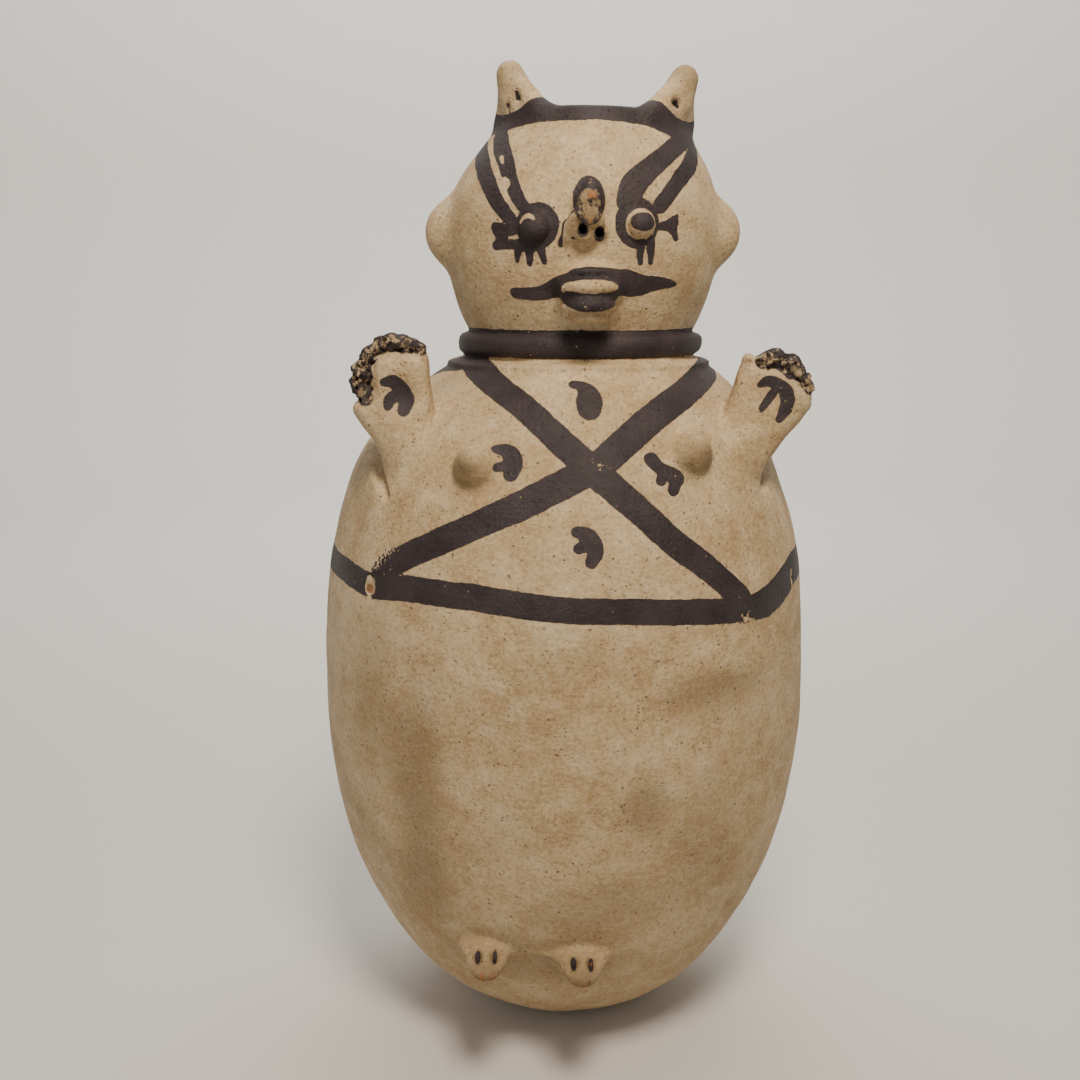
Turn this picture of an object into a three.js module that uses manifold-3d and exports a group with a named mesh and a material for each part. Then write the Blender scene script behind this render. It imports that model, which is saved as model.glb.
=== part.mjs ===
// A hand-built clay jar in the shape of a standing figure: its belly is the body and its neck is the head.
// Millimetres. The front looks along -Y, +X is the viewer's right, and the origin is the middle of the base.
import * as THREE from 'three';
import { LoftGeometry } from 'three/addons/geometries/LoftGeometry.js';
import { mergeVertices } from 'three/addons/utils/BufferGeometryUtils.js';
import Module from 'manifold-3d';

const wasm = await Module();
wasm.setup();

// Sizes of the vessel
const bodyHeight = 328; // floor to the middle of the collar
const headHeight = 99; // middle of the collar to the rim
const bodyRadius = 115;
const baseRadius = 30;
const neckRadius = 51;
const headSwell = 11.2; // how far the cheeks stand out past the neck
const rimRadius = 42.5;
const depthShare = 0.92; // depth of body and head over their width
const wall = 6;
const floorThickness = 8;
const collarHeight = 10;
const collarReach = 6;
const headShift = 7.8; // the head sits to the viewer's right of the base
const rimShift = 5.2; // and the rim further still

// Sizes of what is modelled on the head
const eyeRadius = 7;
const eyeReach = 5.5;
const eyeSpread = 41; // from eye to eye, in degrees round the head
const noseLength = 27;
const noseWidth = 11;
const nostrilSpan = 19; // width of the nose at its nostrils
const noseReach = 7;
const nostrilRadius = 2;
const muzzleWidth = 25;
const muzzleReach = 16;
const lipHeight = 12;
const earHeight = 29;
const earThickness = 19;
const earReach = 10;
const hornHeight = 22; // rim to tip
const hornLength = 38; // along the rim, at the foot of the horn
const hornThickness = 11;
const hornTip = 5.6; // radius of the blunt tip
const hornSplay = 60; // from the front to each horn, in degrees round the rim

// Sizes of what is modelled on the body
const leftArmReach = 17; // from the shoulder sideways to the middle of the hand
const rightArmReach = 19.5;
const armWidth = 36;
const armThickness = 22;
const handWidth = 33;
const handThickness = 15;
const fingerRadius = 5.2;
const fingersLeft = 6;
const fingersRight = 5;
const fingerFanLeft = [-28, 128]; // from the thumb to the last finger, in degrees round the palm
const fingerFanRight = [-25, 95];
const breastRadius = 10;
const breastReach = 6;
const footWidth = 25;
const footReach = 19;
const footThickness = 15;
const toeSlotDepth = 1.6;
const toeSlotLength = 5;
const toeSlotWidth = 2;

// Heights of the vessel's own parts
const jarHeight = bodyHeight + headHeight;
const bellyHeight = 0.518 * bodyHeight;
const cheekHeight = bodyHeight + 0.505 * headHeight;
const headRadius = neckRadius + headSwell;
const crownRise = 1.13 * (jarHeight - cheekHeight);
const lipRound = wall / 3;
const bellyFullness = 2.2;
const shoulderFullness = 2.45;
const headFullness = 2;
const rimBlend = 10;

// How finely the round forms are faceted
const outerSides = 48;
const innerSides = 28;
const sectionSides = 16;

// Rise of a rounded form of a given reach that has narrowed to a given radius at a given distance
function riseThrough(radius, distance, reach, fullness) {
  return distance / (1 - (radius / reach) ** fullness) ** (1 / fullness);
}

// Radius of a rounded form at a distance above or below its widest height
function roundedRadius(distance, reach, rise, fullness) {
  const share = Math.min(1, distance / rise);
  return reach * (1 - share ** fullness) ** (1 / fullness);
}

// The larger of two values, with the corner between them rounded off
function softMax(a, b, blend) {
  const overlap = Math.max(0, 1 - Math.abs(a - b) / blend);
  return Math.max(a, b) + (blend / 4) * overlap * overlap;
}

// Radius of the vessel at a height: the outer skin has no inset, and the inner skin is inset by the wall
function vesselRadius(height, inset) {
  const neckBottom = bodyHeight - collarHeight / 2 - inset;
  const neckTop = bodyHeight + collarHeight / 2 + inset;
  const neck = neckRadius - inset;
  const body = bodyRadius - inset;
  const head = headRadius - inset;
  if (height < bellyHeight) {
    const endRadius = inset > 0 ? 0 : baseRadius;
    const endHeight = inset > 0 ? floorThickness : 0;
    const rise = riseThrough(endRadius, bellyHeight - endHeight, body, bellyFullness);
    return roundedRadius(bellyHeight - height, body, rise, bellyFullness);
  }
  if (height < neckBottom) {
    const rise = riseThrough(neck, neckBottom - bellyHeight, body, shoulderFullness);
    return roundedRadius(height - bellyHeight, body, rise, shoulderFullness);
  }
  if (height < neckTop) {
    const share = Math.min(1, Math.abs(height - bodyHeight) / (collarHeight / 2));
    return neck + (inset > 0 ? 0 : collarReach * Math.sqrt(1 - share * share));
  }
  if (height < cheekHeight) {
    const rise = riseThrough(neck, cheekHeight - neckTop, head, headFullness);
    return roundedRadius(cheekHeight - height, head, rise, headFullness);
  }
  const crown = roundedRadius(height - cheekHeight, head, crownRise - inset, headFullness);
  return softMax(crown, rimRadius - inset, rimBlend);
}

// Sideways shift of the vessel's axis at a height
function axisShift(height) {
  const head = THREE.MathUtils.smoothstep(height, 0.8 * bodyHeight, 1.035 * bodyHeight);
  const [start, end] = [cheekHeight + 0.1 * headHeight, jarHeight + 0.05 * headHeight];
  const rim = THREE.MathUtils.smoothstep(height, start, end);
  return headShift * head + rimShift * rim;
}

// A point on the outer skin, at an angle round the jar (0 faces front, positive to the viewer's right)
function skinPoint(degrees, height) {
  const angle = THREE.MathUtils.degToRad(degrees);
  const radius = vesselRadius(height, 0);
  const x = axisShift(height) + radius * Math.sin(angle);
  return new THREE.Vector3(x, -depthShare * radius * Math.cos(angle), height);
}

// The frame of a spot on the skin: x to the viewer's right along it, y up along it and z straight out of it
function spot(degrees, height, level = false) {
  const step = 0.5;
  const side = skinPoint(degrees + step, height).sub(skinPoint(degrees - step, height)).normalize();
  const rise = skinPoint(degrees, height + step).sub(skinPoint(degrees, height - step)).normalize();
  const up = level ? new THREE.Vector3(0, 0, 1) : rise;
  const out = side.clone().cross(up).normalize();
  const frame = new THREE.Matrix4().makeBasis(side, out.clone().cross(side), out);
  return frame.setPosition(skinPoint(degrees, height));
}

// A closed geometry as a solid that can be joined and cut
function solid(geometry) {
  const bare = new THREE.BufferGeometry();
  bare.setAttribute('position', geometry.attributes.position);
  bare.setIndex(geometry.index);
  const merged = mergeVertices(bare, 1e-4);
  const corners = merged.index.array;
  const triangles = [];
  for (let i = 0; i < corners.length; i += 3) {
    const [a, b, c] = [corners[i], corners[i + 1], corners[i + 2]];
    if (a !== b && b !== c && c !== a) {
      triangles.push(a, b, c);
    }
  }
  return new wasm.Manifold(new wasm.Mesh({
    numProp: 3,
    vertProperties: new Float32Array(merged.attributes.position.array),
    triVerts: new Uint32Array(triangles),
  }));
}

// An egg of three radii in the frame of a spot
function egg(frame, centre, radii, sides = 14) {
  const geometry = new THREE.SphereGeometry(1, sides, Math.round(sides * 0.6));
  geometry.scale(radii.x, radii.y, radii.z);
  geometry.translate(centre.x, centre.y, centre.z);
  return solid(geometry.applyMatrix4(frame));
}

// An oval loop round a centre, spread along two directions: a power over 2 squares its corners
function oval(centre, side, up, halfWidth, halfHeight, power = 2) {
  const loop = [];
  for (let i = 0; i < sectionSides; i += 1) {
    const angle = (2 * Math.PI * i) / sectionSides;
    const across = Math.sign(Math.cos(angle)) * Math.abs(Math.cos(angle)) ** (2 / power);
    const along = Math.sign(Math.sin(angle)) * Math.abs(Math.sin(angle)) ** (2 / power);
    const point = centre.clone().addScaledVector(side, halfWidth * across);
    loop.push(point.addScaledVector(up, halfHeight * along));
  }
  return loop;
}

// Middle of a loop of points
function middleOf(loop) {
  return loop.reduce((sum, point) => sum.add(point), new THREE.Vector3()).divideScalar(loop.length);
}

// A solid lofted through oval loops, each wound the way that turns its faces outward
function loft(sections) {
  const [first, last] = [sections[0], sections[sections.length - 1]];
  const centre = middleOf(first);
  const [a, b] = [first[0].clone().sub(centre), first[Math.floor(sectionSides / 4)].clone().sub(centre)];
  const inward = a.cross(b).dot(middleOf(last).sub(centre)) < 0;
  const loops = inward ? sections.map((loop) => loop.slice().reverse()) : sections;
  return solid(new LoftGeometry(loops, { capStart: true, capEnd: true }));
}

// Evenly spaced heights, with both ends
function heightsBetween(from, to, steps) {
  return Array.from({ length: steps + 1 }, (_, i) => from + ((to - from) * i) / steps);
}

// A turned form stood upright, made oval in depth, and shifted along the leaning axis
function turned(profile, sides, inset) {
  const geometry = new THREE.LatheGeometry(profile, sides).rotateX(Math.PI / 2);
  const place = geometry.attributes.position;
  for (let i = 0; i < place.count; i += 1) {
    const radius = Math.hypot(place.getX(i), place.getY(i));
    const depth = radius > 0 ? Math.max(0, depthShare * (radius + inset) - inset) / radius : 1;
    place.setX(i, place.getX(i) + axisShift(place.getZ(i)));
    place.setY(i, place.getY(i) * depth);
  }
  return solid(geometry);
}

// The outer skin with its collar, up to the rounded lip
function outerForm() {
  const curl = 0.12 * bellyHeight;
  const heights = [
    ...heightsBetween(0, curl, 4),
    ...heightsBetween(curl, bodyHeight - collarHeight / 2, 13).slice(1),
    ...heightsBetween(bodyHeight - collarHeight / 2, bodyHeight + collarHeight / 2, 6).slice(1),
    ...heightsBetween(bodyHeight + collarHeight / 2, jarHeight - lipRound, 12).slice(1),
  ];
  const profile = heights.map((height) => new THREE.Vector2(vesselRadius(height, 0), height));
  const lip = new THREE.Vector2(rimRadius - lipRound, jarHeight);
  return turned([new THREE.Vector2(0, 0), ...profile, lip, new THREE.Vector2(0, jarHeight)], outerSides, 0);
}

// The hollow, from the floor of the belly out through the mouth
function hollowForm() {
  const overshoot = wall / 6;
  const curl = 0.1 * bellyHeight;
  const heights = [
    ...heightsBetween(floorThickness, floorThickness + curl, 3).slice(1),
    ...heightsBetween(floorThickness + curl, bodyHeight - collarHeight / 2 - wall, 10).slice(1),
    ...heightsBetween(bodyHeight + collarHeight / 2 + wall, jarHeight, 8),
  ];
  const profile = heights.map((height) => new THREE.Vector2(vesselRadius(height, wall), height));
  const mouth = vesselRadius(jarHeight, wall);
  const top = [new THREE.Vector2(mouth, jarHeight + overshoot), new THREE.Vector2(0, jarHeight + overshoot)];
  return turned([new THREE.Vector2(0, floorThickness), ...profile, ...top], innerSides, wall);
}

// Height on the head, as a share of the way from the collar to the rim
function faceHeight(share) {
  return bodyHeight + share * headHeight;
}

// A pellet of clay pressed on for each eye
function eyes() {
  const sunk = eyeRadius * 0.3;
  return [-eyeSpread / 2, eyeSpread / 2].map((degrees) => egg(
    spot(degrees, faceHeight(0.502)),
    new THREE.Vector3(0, 0, -sunk),
    new THREE.Vector3(eyeRadius, eyeRadius, eyeReach + sunk),
  ));
}

// The nose: a ridge that widens to its nostrils, with its front broken off flat
function nose() {
  const frame = spot(0, faceHeight(0.565));
  const side = new THREE.Vector3(1, 0, 0);
  const up = new THREE.Vector3(0, 1, 0);
  const out = new THREE.Vector3(0, 0, 1);
  const stations = [
    { along: 0.5, width: 0.35 * noseWidth, reach: 0.1 * noseReach },
    { along: 0.42, width: 0.75 * noseWidth, reach: 0.55 * noseReach },
    { along: 0.2, width: noseWidth, reach: 0.95 * noseReach },
    { along: -0.1, width: 1.05 * noseWidth, reach: noseReach },
    { along: -0.28, width: 0.8 * nostrilSpan, reach: noseReach },
    { along: -0.42, width: nostrilSpan, reach: 0.7 * noseReach },
    { along: -0.5, width: 0.8 * nostrilSpan, reach: 0.1 * noseReach },
  ];
  const sections = stations.map(({ along, width, reach }) => {
    const centre = up.clone().multiplyScalar(along * noseLength).addScaledVector(out, reach / 2 - wall / 4);
    return oval(centre, side, out, width / 2, reach / 2 + wall / 4, 3);
  });
  const ridge = loft(sections.map((loop) => loop.map((point) => point.applyMatrix4(frame))));
  const nostrils = [-1, 1].map((hand) => {
    const bore = new THREE.CylinderGeometry(nostrilRadius, nostrilRadius * 0.7, noseReach, 10);
    bore.rotateX(Math.PI / 2);
    bore.translate(hand * nostrilSpan * 0.2, -0.3 * noseLength, noseReach * 0.8);
    return solid(bore.applyMatrix4(frame));
  });
  return nostrils.reduce((whole, bore) => whole.subtract(bore), ridge);
}

// The mouth: two thick lips one over the other, thrust forward like a beak
function muzzle() {
  const frame = spot(2, faceHeight(0.24), true);
  const sunk = wall;
  const lips = [
    { rise: 0.5, width: 1.15 * muzzleWidth, height: 1.3 * lipHeight, reach: 0.7 * muzzleReach },
    { rise: 0.22, width: muzzleWidth, height: 0.85 * lipHeight, reach: muzzleReach },
    { rise: -0.48, width: 0.88 * muzzleWidth, height: 0.85 * lipHeight, reach: 1.03 * muzzleReach },
  ].map(({ rise, width, height, reach }) => egg(
    frame,
    new THREE.Vector3(0, rise * lipHeight, -sunk),
    new THREE.Vector3(width / 2, height / 2, reach + sunk),
    16,
  ));
  return lips.reduce((whole, lip) => whole.add(lip));
}

// A rounded lug for each ear
function ears() {
  const sunk = wall / 2;
  return [-82, 82].map((degrees) => egg(
    spot(degrees, faceHeight(0.5), true),
    new THREE.Vector3(0, 0, -sunk),
    new THREE.Vector3(earThickness / 2, earHeight / 2, earReach + sunk),
  ));
}

// A horn on each side of the rim: a tab that follows the rim, drawn up and outward to a blunt tip
function horns() {
  return [-1, 1].map((hand) => {
    const up = new THREE.Vector3(0, 0, 1);
    const axis = new THREE.Vector3(axisShift(jarHeight), 0, jarHeight);
    const root = skinPoint(hand * hornSplay, jarHeight);
    const inward = axis.clone().sub(root).normalize();
    const along = inward.clone().cross(up);
    const stations = [
      { rise: -0.45, length: 0.9 * hornLength, thickness: 0.6 * hornThickness, splay: 0 },
      { rise: -0.05, length: hornLength, thickness: 0.7 * hornThickness, splay: 0 },
      { rise: 0.3, length: 0.68 * hornLength, thickness: 0.9 * hornThickness, splay: 0.05 },
      { rise: 0.68, length: 2.3 * hornTip, thickness: 2 * hornTip, splay: 0.18 },
      { rise: 0.92, length: 1.6 * hornTip, thickness: 1.5 * hornTip, splay: 0.24 },
      { rise: 1, length: 0.8 * hornTip, thickness: 0.7 * hornTip, splay: 0.26 },
    ];
    const sections = stations.map(({ rise, length, thickness, splay }) => {
      const centre = root.clone().addScaledVector(inward, wall / 2).addScaledVector(up, rise * hornHeight);
      const lean = new THREE.Vector3(hand, 0.3, 0).multiplyScalar(splay * hornHeight);
      const bend = Math.min(1, 1 - rise) / (2 * rimRadius);
      return oval(centre, along, inward, length / 2, thickness / 2).map((point) => {
        const reach = point.clone().sub(centre).dot(along);
        return point.addScaledVector(inward, bend * reach * reach).add(lean);
      });
    });
    return loft(sections);
  });
}

// An arm: a flipper that stands up from the shoulder, palm forward, with a row of blunt fingers on its edge
function arm({ hand, degrees, reach, lift, fingers, fan }) {
  const shoulder = skinPoint(hand * degrees, 0.865 * bodyHeight);
  const back = new THREE.Vector3(0, 1, 0);
  const stations = [
    { out: -1.3, rise: -0.045, width: 1.5 * armWidth, thickness: 1.3 * armThickness },
    { out: -0.35, rise: -0.005, width: 1.25 * armWidth, thickness: 1.15 * armThickness },
    { out: 0.15, rise: 0.02, width: armWidth, thickness: armThickness },
    { out: 0.5, rise: 0.055, width: 0.95 * handWidth, thickness: 0.85 * armThickness },
    { out: 0.75, rise: 0.088, width: handWidth, thickness: 1.05 * handThickness },
    { out: 0.9, rise: 0.122, width: handWidth, thickness: handThickness },
    { out: 0.97, rise: 0.146, width: 0.75 * handWidth, thickness: 0.8 * handThickness },
  ];
  const centres = stations.map(({ out, rise }) => new THREE.Vector3(
    shoulder.x + hand * out * reach,
    shoulder.y + 0.35 * armThickness,
    shoulder.z + rise * lift * bodyHeight,
  ));
  const sections = stations.map(({ width, thickness }, i) => {
    const before = centres[Math.max(0, i - 1)];
    const after = centres[Math.min(centres.length - 1, i + 1)];
    const across = after.clone().sub(before).normalize().cross(back).normalize();
    return oval(centres[i], across, back, width / 2, thickness / 2, 2.6);
  });
  const palm = centres[4];
  const palmRadius = handWidth / 2 + 0.4 * fingerRadius;
  const palmPad = new THREE.Vector3(palmRadius, handThickness / 2, palmRadius);
  let whole = loft(sections).add(egg(new THREE.Matrix4(), palm, palmPad, 12));
  for (let i = 0; i < fingers; i += 1) {
    const turn = THREE.MathUtils.degToRad(THREE.MathUtils.lerp(fan[0], fan[1], i / (fingers - 1)));
    const centre = new THREE.Vector3(
      palm.x + hand * Math.sin(turn) * (handWidth / 2 - 0.2 * fingerRadius),
      palm.y,
      palm.z + Math.cos(turn) * (handWidth / 2 + 0.5 * fingerRadius),
    );
    const radii = new THREE.Vector3(fingerRadius, 0.5 * handThickness, fingerRadius);
    whole = whole.add(egg(new THREE.Matrix4(), centre, radii, 8));
  }
  return whole;
}

// A low cone of clay for each breast
function breasts() {
  return [-27.5, 34.5].map((degrees) => egg(
    spot(degrees, 0.86 * bodyHeight),
    new THREE.Vector3(0, 0, -breastRadius * 0.2),
    new THREE.Vector3(breastRadius, breastRadius, breastReach + breastRadius * 0.2),
  ));
}

// A foot: a tapering ledge that sticks straight out in front, with two slots that part its toes
function foot(degrees) {
  const root = skinPoint(degrees, 0.21 * bodyHeight);
  const side = new THREE.Vector3(1, 0, 0);
  const up = new THREE.Vector3(0, 0, 1);
  const out = new THREE.Vector3(0, -1, 0);
  const stations = [
    { reach: -0.45, width: 1.1 * footWidth, thickness: footThickness, drop: 0 },
    { reach: 0.15, width: footWidth, thickness: footThickness, drop: 0 },
    { reach: 0.5, width: 0.85 * footWidth, thickness: 0.8 * footThickness, drop: 0.03 },
    { reach: 0.8, width: 0.66 * footWidth, thickness: 0.62 * footThickness, drop: 0.06 },
    { reach: 0.95, width: 0.48 * footWidth, thickness: 0.45 * footThickness, drop: 0.1 },
    { reach: 1, width: 0.3 * footWidth, thickness: 0.25 * footThickness, drop: 0.12 },
  ];
  const sections = stations.map(({ reach, width, thickness, drop }) => {
    const centre = root.clone().addScaledVector(out, reach * footReach);
    centre.addScaledVector(up, -drop * footReach);
    return oval(centre, side, up, width / 2, thickness / 2, 2.4);
  });
  const ledge = loft(sections);
  const slots = [-1, 1].map((hand) => {
    const slot = new THREE.BoxGeometry(toeSlotWidth, toeSlotLength, toeSlotDepth * 2);
    const reach = 0.5 * footReach;
    slot.translate(root.x + hand * footWidth * 0.15, root.y - reach, root.z + 0.37 * footThickness);
    return solid(slot);
  });
  return slots.reduce((whole, slot) => whole.subtract(slot), ledge);
}

// The whole jar as one fired piece: the forms are joined, and then the hollow is taken out
function jar() {
  const forms = [
    ...eyes(), nose(), muzzle(), ...ears(), ...horns(),
    arm({ hand: -1, degrees: 47, reach: leftArmReach, lift: 0.94, fingers: fingersLeft, fan: fingerFanLeft }),
    arm({ hand: 1, degrees: 51, reach: rightArmReach, lift: 0.78, fingers: fingersRight, fan: fingerFanRight }),
    ...breasts(), foot(-21), foot(4),
  ];
  const whole = forms.reduce((joined, form) => joined.add(form), outerForm());
  const fired = whole.subtract(hollowForm()).getMesh();
  const geometry = new THREE.BufferGeometry();
  geometry.setAttribute('position', new THREE.BufferAttribute(new Float32Array(fired.vertProperties), 3));
  geometry.setIndex(new THREE.BufferAttribute(new Uint32Array(fired.triVerts), 1));
  geometry.computeVertexNormals();
  return geometry;
}

const creamClay = new THREE.MeshStandardMaterial({ color: '#bea685', roughness: 0.72, metalness: 0 });
const effigyJar = new THREE.Mesh(jar(), creamClay);
effigyJar.name = 'effigy_jar';

const figure = new THREE.Group();
figure.add(effigyJar);

export default figure;
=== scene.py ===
"""A slip-painted clay jar in the shape of a horned figure: its belly is the body and its neck is the head.

The jar is one hollow fired piece. Its clay is modelled here as a field of distances in millimetres, to which
forms are added and from which others are cut, and the skin of that field becomes the mesh. The strokes of the
brush are then laid on the skin as distances from their edges, which the material turns into dark slip.
The front looks along -Y, +X is the viewer's right and the origin is the middle of the base.
"""

import logging
import math
from dataclasses import dataclass, field
from enum import Enum
from typing import Callable, Sequence

import bpy
import numpy as np
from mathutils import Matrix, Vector


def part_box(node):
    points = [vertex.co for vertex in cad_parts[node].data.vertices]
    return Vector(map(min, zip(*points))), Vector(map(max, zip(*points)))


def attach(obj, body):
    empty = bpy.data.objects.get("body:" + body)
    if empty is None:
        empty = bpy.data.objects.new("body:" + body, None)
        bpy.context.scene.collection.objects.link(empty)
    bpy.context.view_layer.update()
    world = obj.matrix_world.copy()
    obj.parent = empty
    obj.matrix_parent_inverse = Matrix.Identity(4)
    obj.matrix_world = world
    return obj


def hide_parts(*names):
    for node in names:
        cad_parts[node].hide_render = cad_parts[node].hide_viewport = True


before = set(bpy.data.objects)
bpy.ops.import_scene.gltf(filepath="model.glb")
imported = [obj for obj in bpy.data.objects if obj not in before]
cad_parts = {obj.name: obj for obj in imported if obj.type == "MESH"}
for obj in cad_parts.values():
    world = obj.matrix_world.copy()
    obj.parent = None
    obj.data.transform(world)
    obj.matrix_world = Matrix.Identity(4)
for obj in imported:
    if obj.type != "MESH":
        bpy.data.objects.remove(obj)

MM = 0.001
TINY = 1e-6  # keeps a division from meeting zero
OUTSIDE = -9.0  # a distance well outside any mark, in mm
EDGE_REACH = 5.0  # how far from a mark's edge its distance is kept, in mm
FAR = 99.0  # a distance well outside the clay, in mm
SURROUND = 3.0  # how far round a form the clay is worked over, in mm
STROKE_STEP = 0.6  # between the points laid along a stroke, in mm
PAIRS_AT_ONCE = 4_000_000  # points times stations measured at once, to keep the memory small
WEAR_FALL = 1.4  # how steeply a patch of wear fades at its rim

log = logging.getLogger("effigy_jar")

Vec = np.ndarray
Point = tuple[float, ...]


class Side(Enum):
    """The viewer's left or right."""

    LEFT = -1
    RIGHT = 1


class Slip(Enum):
    """What a mark lays on the clay; dark marks also paint shade into the horns' pits, the nostrils, the toe
    slots and the parting of the lips.
    """

    DARK = "dark"
    CREAM = "cream"


class Touch(Enum):
    """What age and handling did at a patch of the skin; stain patches also lay painted shade."""

    BARE = "bare"
    STAIN = "stain"
    WORN = "worn"
    RAGGED = "ragged"


def linear(hex_colour: str) -> tuple[float, float, float, float]:
    """Turns an sRGB colour to linear light.

    Args:
        hex_colour: The colour as #rrggbb.

    Returns:
        Red, green, blue and an alpha of one.
    """
    values = [int(hex_colour[i : i + 2], 16) / 255 for i in (1, 3, 5)]
    red, green, blue = (v / 12.92 if v <= 0.04045 else ((v + 0.055) / 1.055) ** 2.4 for v in values)
    return red, green, blue, 1.0


def eased(value: Vec, start: float, end: float) -> Vec:
    """Rises smoothly from 0 at start to 1 at end."""
    share = np.clip((value - start) / (end - start), 0, 1)
    return share * share * (3 - 2 * share)


def joined(a: Vec, b: Vec, blend: float) -> Vec:
    """Joins two fields of distance, with the crease between them filled over a width of blend."""
    overlap = np.maximum(0, 1 - np.abs(a - b) / blend)
    return np.minimum(a, b) - overlap * overlap * (blend / 4)


def unit(vector: Sequence[float]) -> Vec:
    """Gives a vector the length of one."""
    array = np.asarray(vector, float)
    return array / np.linalg.norm(array)


@dataclass(frozen=True)
class Form:
    """A form of clay or of a hollow: its box, and the distance from its skin, below zero inside."""

    low: Vec
    high: Vec
    distance: Callable[[Vec, Vec, Vec], Vec]


def egg(centre: Sequence[float], radii: Sequence[float], axes: Vec | None = None) -> Form:
    """Makes an egg of three radii.

    Args:
        centre: Its middle.
        radii: Its radius along each of its axes.
        axes: Its three axes as rows, or None for the jar's own.

    Returns:
        The form.
    """
    middle, sizes = np.asarray(centre, float), np.asarray(radii, float)
    rows = np.eye(3) if axes is None else axes

    def distance(x: Vec, y: Vec, z: Vec) -> Vec:
        """Measures the distance from the egg's skin.

        Args:
            x: The points' X, in mm.
            y: Their Y.
            z: Their Z.

        Returns:
            The distances, below zero inside.
        """
        dx, dy, dz = x - middle[0], y - middle[1], z - middle[2]
        near, steep = 0.0, 0.0
        for row, size in zip(rows, sizes):
            along = dx * row[0] + dy * row[1] + dz * row[2]
            near = near + (along / size) ** 2
            steep = steep + (along / size**2) ** 2
        near = np.sqrt(near)
        return near * (near - 1) / np.maximum(np.sqrt(steep), TINY)

    reach = np.sqrt(((rows * sizes[:, None]) ** 2).sum(0))
    return Form(middle - reach, middle + reach, distance)


def limb(points: Sequence[Point], radii: Sequence[float], flat: Point = (1.0, 1.0, 1.0)) -> Form:
    """Makes a tapering limb along a chain of points.

    Args:
        points: The middle of the limb at each station.
        radii: The radius at each station.
        flat: How much the limb is flattened along X, Y and Z, about its first point.

    Returns:
        The form.
    """
    chain, sizes, squash = np.asarray(points, float), np.asarray(radii, float), np.asarray(flat, float)
    origin = chain[0]
    places = (chain - origin) / squash

    def distance(x: Vec, y: Vec, z: Vec) -> Vec:
        """Measures the distance from the limb's skin.

        Args:
            x: The points' X, in mm.
            y: Their Y.
            z: Their Z.

        Returns:
            The distances, below zero inside.
        """
        px, py, pz = (x - origin[0]) / squash[0], (y - origin[1]) / squash[1], (z - origin[2]) / squash[2]
        nearest = None
        for i in range(len(places) - 1):
            start, run = places[i], places[i + 1] - places[i]
            along = (px - start[0]) * run[0] + (py - start[1]) * run[1] + (pz - start[2]) * run[2]
            share = np.clip(along / (run @ run), 0, 1)
            gap = np.sqrt(
                (px - start[0] - share * run[0]) ** 2
                + (py - start[1] - share * run[1]) ** 2
                + (pz - start[2] - share * run[2]) ** 2
            )
            skin = gap - (sizes[i] + share * (sizes[i + 1] - sizes[i]))
            nearest = skin if nearest is None else np.minimum(nearest, skin)
        return nearest * squash.min() ** 0.5

    reach = sizes.max() * squash
    return Form(chain.min(0) - reach, chain.max(0) + reach, distance)


def tab(corners: Sequence[Point], radius: float) -> Form:
    """Makes a flat three-cornered tab with round edges.

    Args:
        corners: Its three corners.
        radius: Half its thickness.

    Returns:
        The form.
    """
    a, b, c = (np.asarray(corner, float) for corner in corners)
    normal = unit(np.cross(b - a, c - a))

    def distance(x: Vec, y: Vec, z: Vec) -> Vec:
        """Measures the distance from the tab's skin.

        Args:
            x: The points' X, in mm.
            y: Their Y.
            z: Their Z.

        Returns:
            The distances, below zero inside.
        """
        place = np.stack(np.broadcast_arrays(x, y, z), -1)
        inside = np.ones(place.shape[:-1], bool)
        rim = np.full(place.shape[:-1], np.inf)
        for start, end in ((a, b), (b, c), (c, a)):
            run = end - start
            share = np.clip((place - start) @ run / (run @ run), 0, 1)
            rim = np.minimum(rim, np.linalg.norm(place - start - share[..., None] * run, axis=-1))
            inside &= (place - start) @ np.cross(normal, run) > 0
        return np.where(inside, np.abs((place - a) @ normal), rim) - radius

    chain = np.stack([a, b, c])
    return Form(chain.min(0) - radius, chain.max(0) + radius, distance)


def slab(outline: Sequence[Point], middle: float, half: float, rounding: float) -> Form:
    """Makes a flat slab that faces front, with round edges.

    Args:
        outline: Its outline as seen from the front: X and Z of each corner, in order.
        middle: The middle of its thickness along Y.
        half: Half its thickness.
        rounding: The radius of its edges.

    Returns:
        The form.
    """
    corners = np.asarray(outline, float)
    runs = np.roll(corners, -1, 0) - corners

    def distance(x: Vec, y: Vec, z: Vec) -> Vec:
        """Measures the distance from the slab's skin.

        Args:
            x: The points' X, in mm.
            y: Their Y.
            z: Their Z.

        Returns:
            The distances, below zero inside.
        """
        px, pz = np.broadcast_arrays(x, z)
        nearest, inside = np.full(px.shape, np.inf), np.zeros(px.shape, bool)
        for (cx, cz), (rx, rz) in zip(corners, runs):
            share = np.clip(((px - cx) * rx + (pz - cz) * rz) / (rx * rx + rz * rz), 0, 1)
            nearest = np.minimum(nearest, np.hypot(px - cx - share * rx, pz - cz - share * rz))
            inside ^= ((cz > pz) != (cz + rz > pz)) & (px < cx + (pz - cz) * rx / (rz or 1e-9))
        flat = np.where(inside, -nearest, nearest) + rounding
        deep = np.abs(y - middle) - half + rounding
        outer = np.hypot(np.maximum(flat, 0), np.maximum(deep, 0))
        return outer + np.minimum(np.maximum(flat, deep), 0) - rounding

    low, high = corners.min(0), corners.max(0)
    return Form(
        np.array([low[0], middle - half, low[1]]), np.array([high[0], middle + half, high[1]]), distance)


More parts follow.
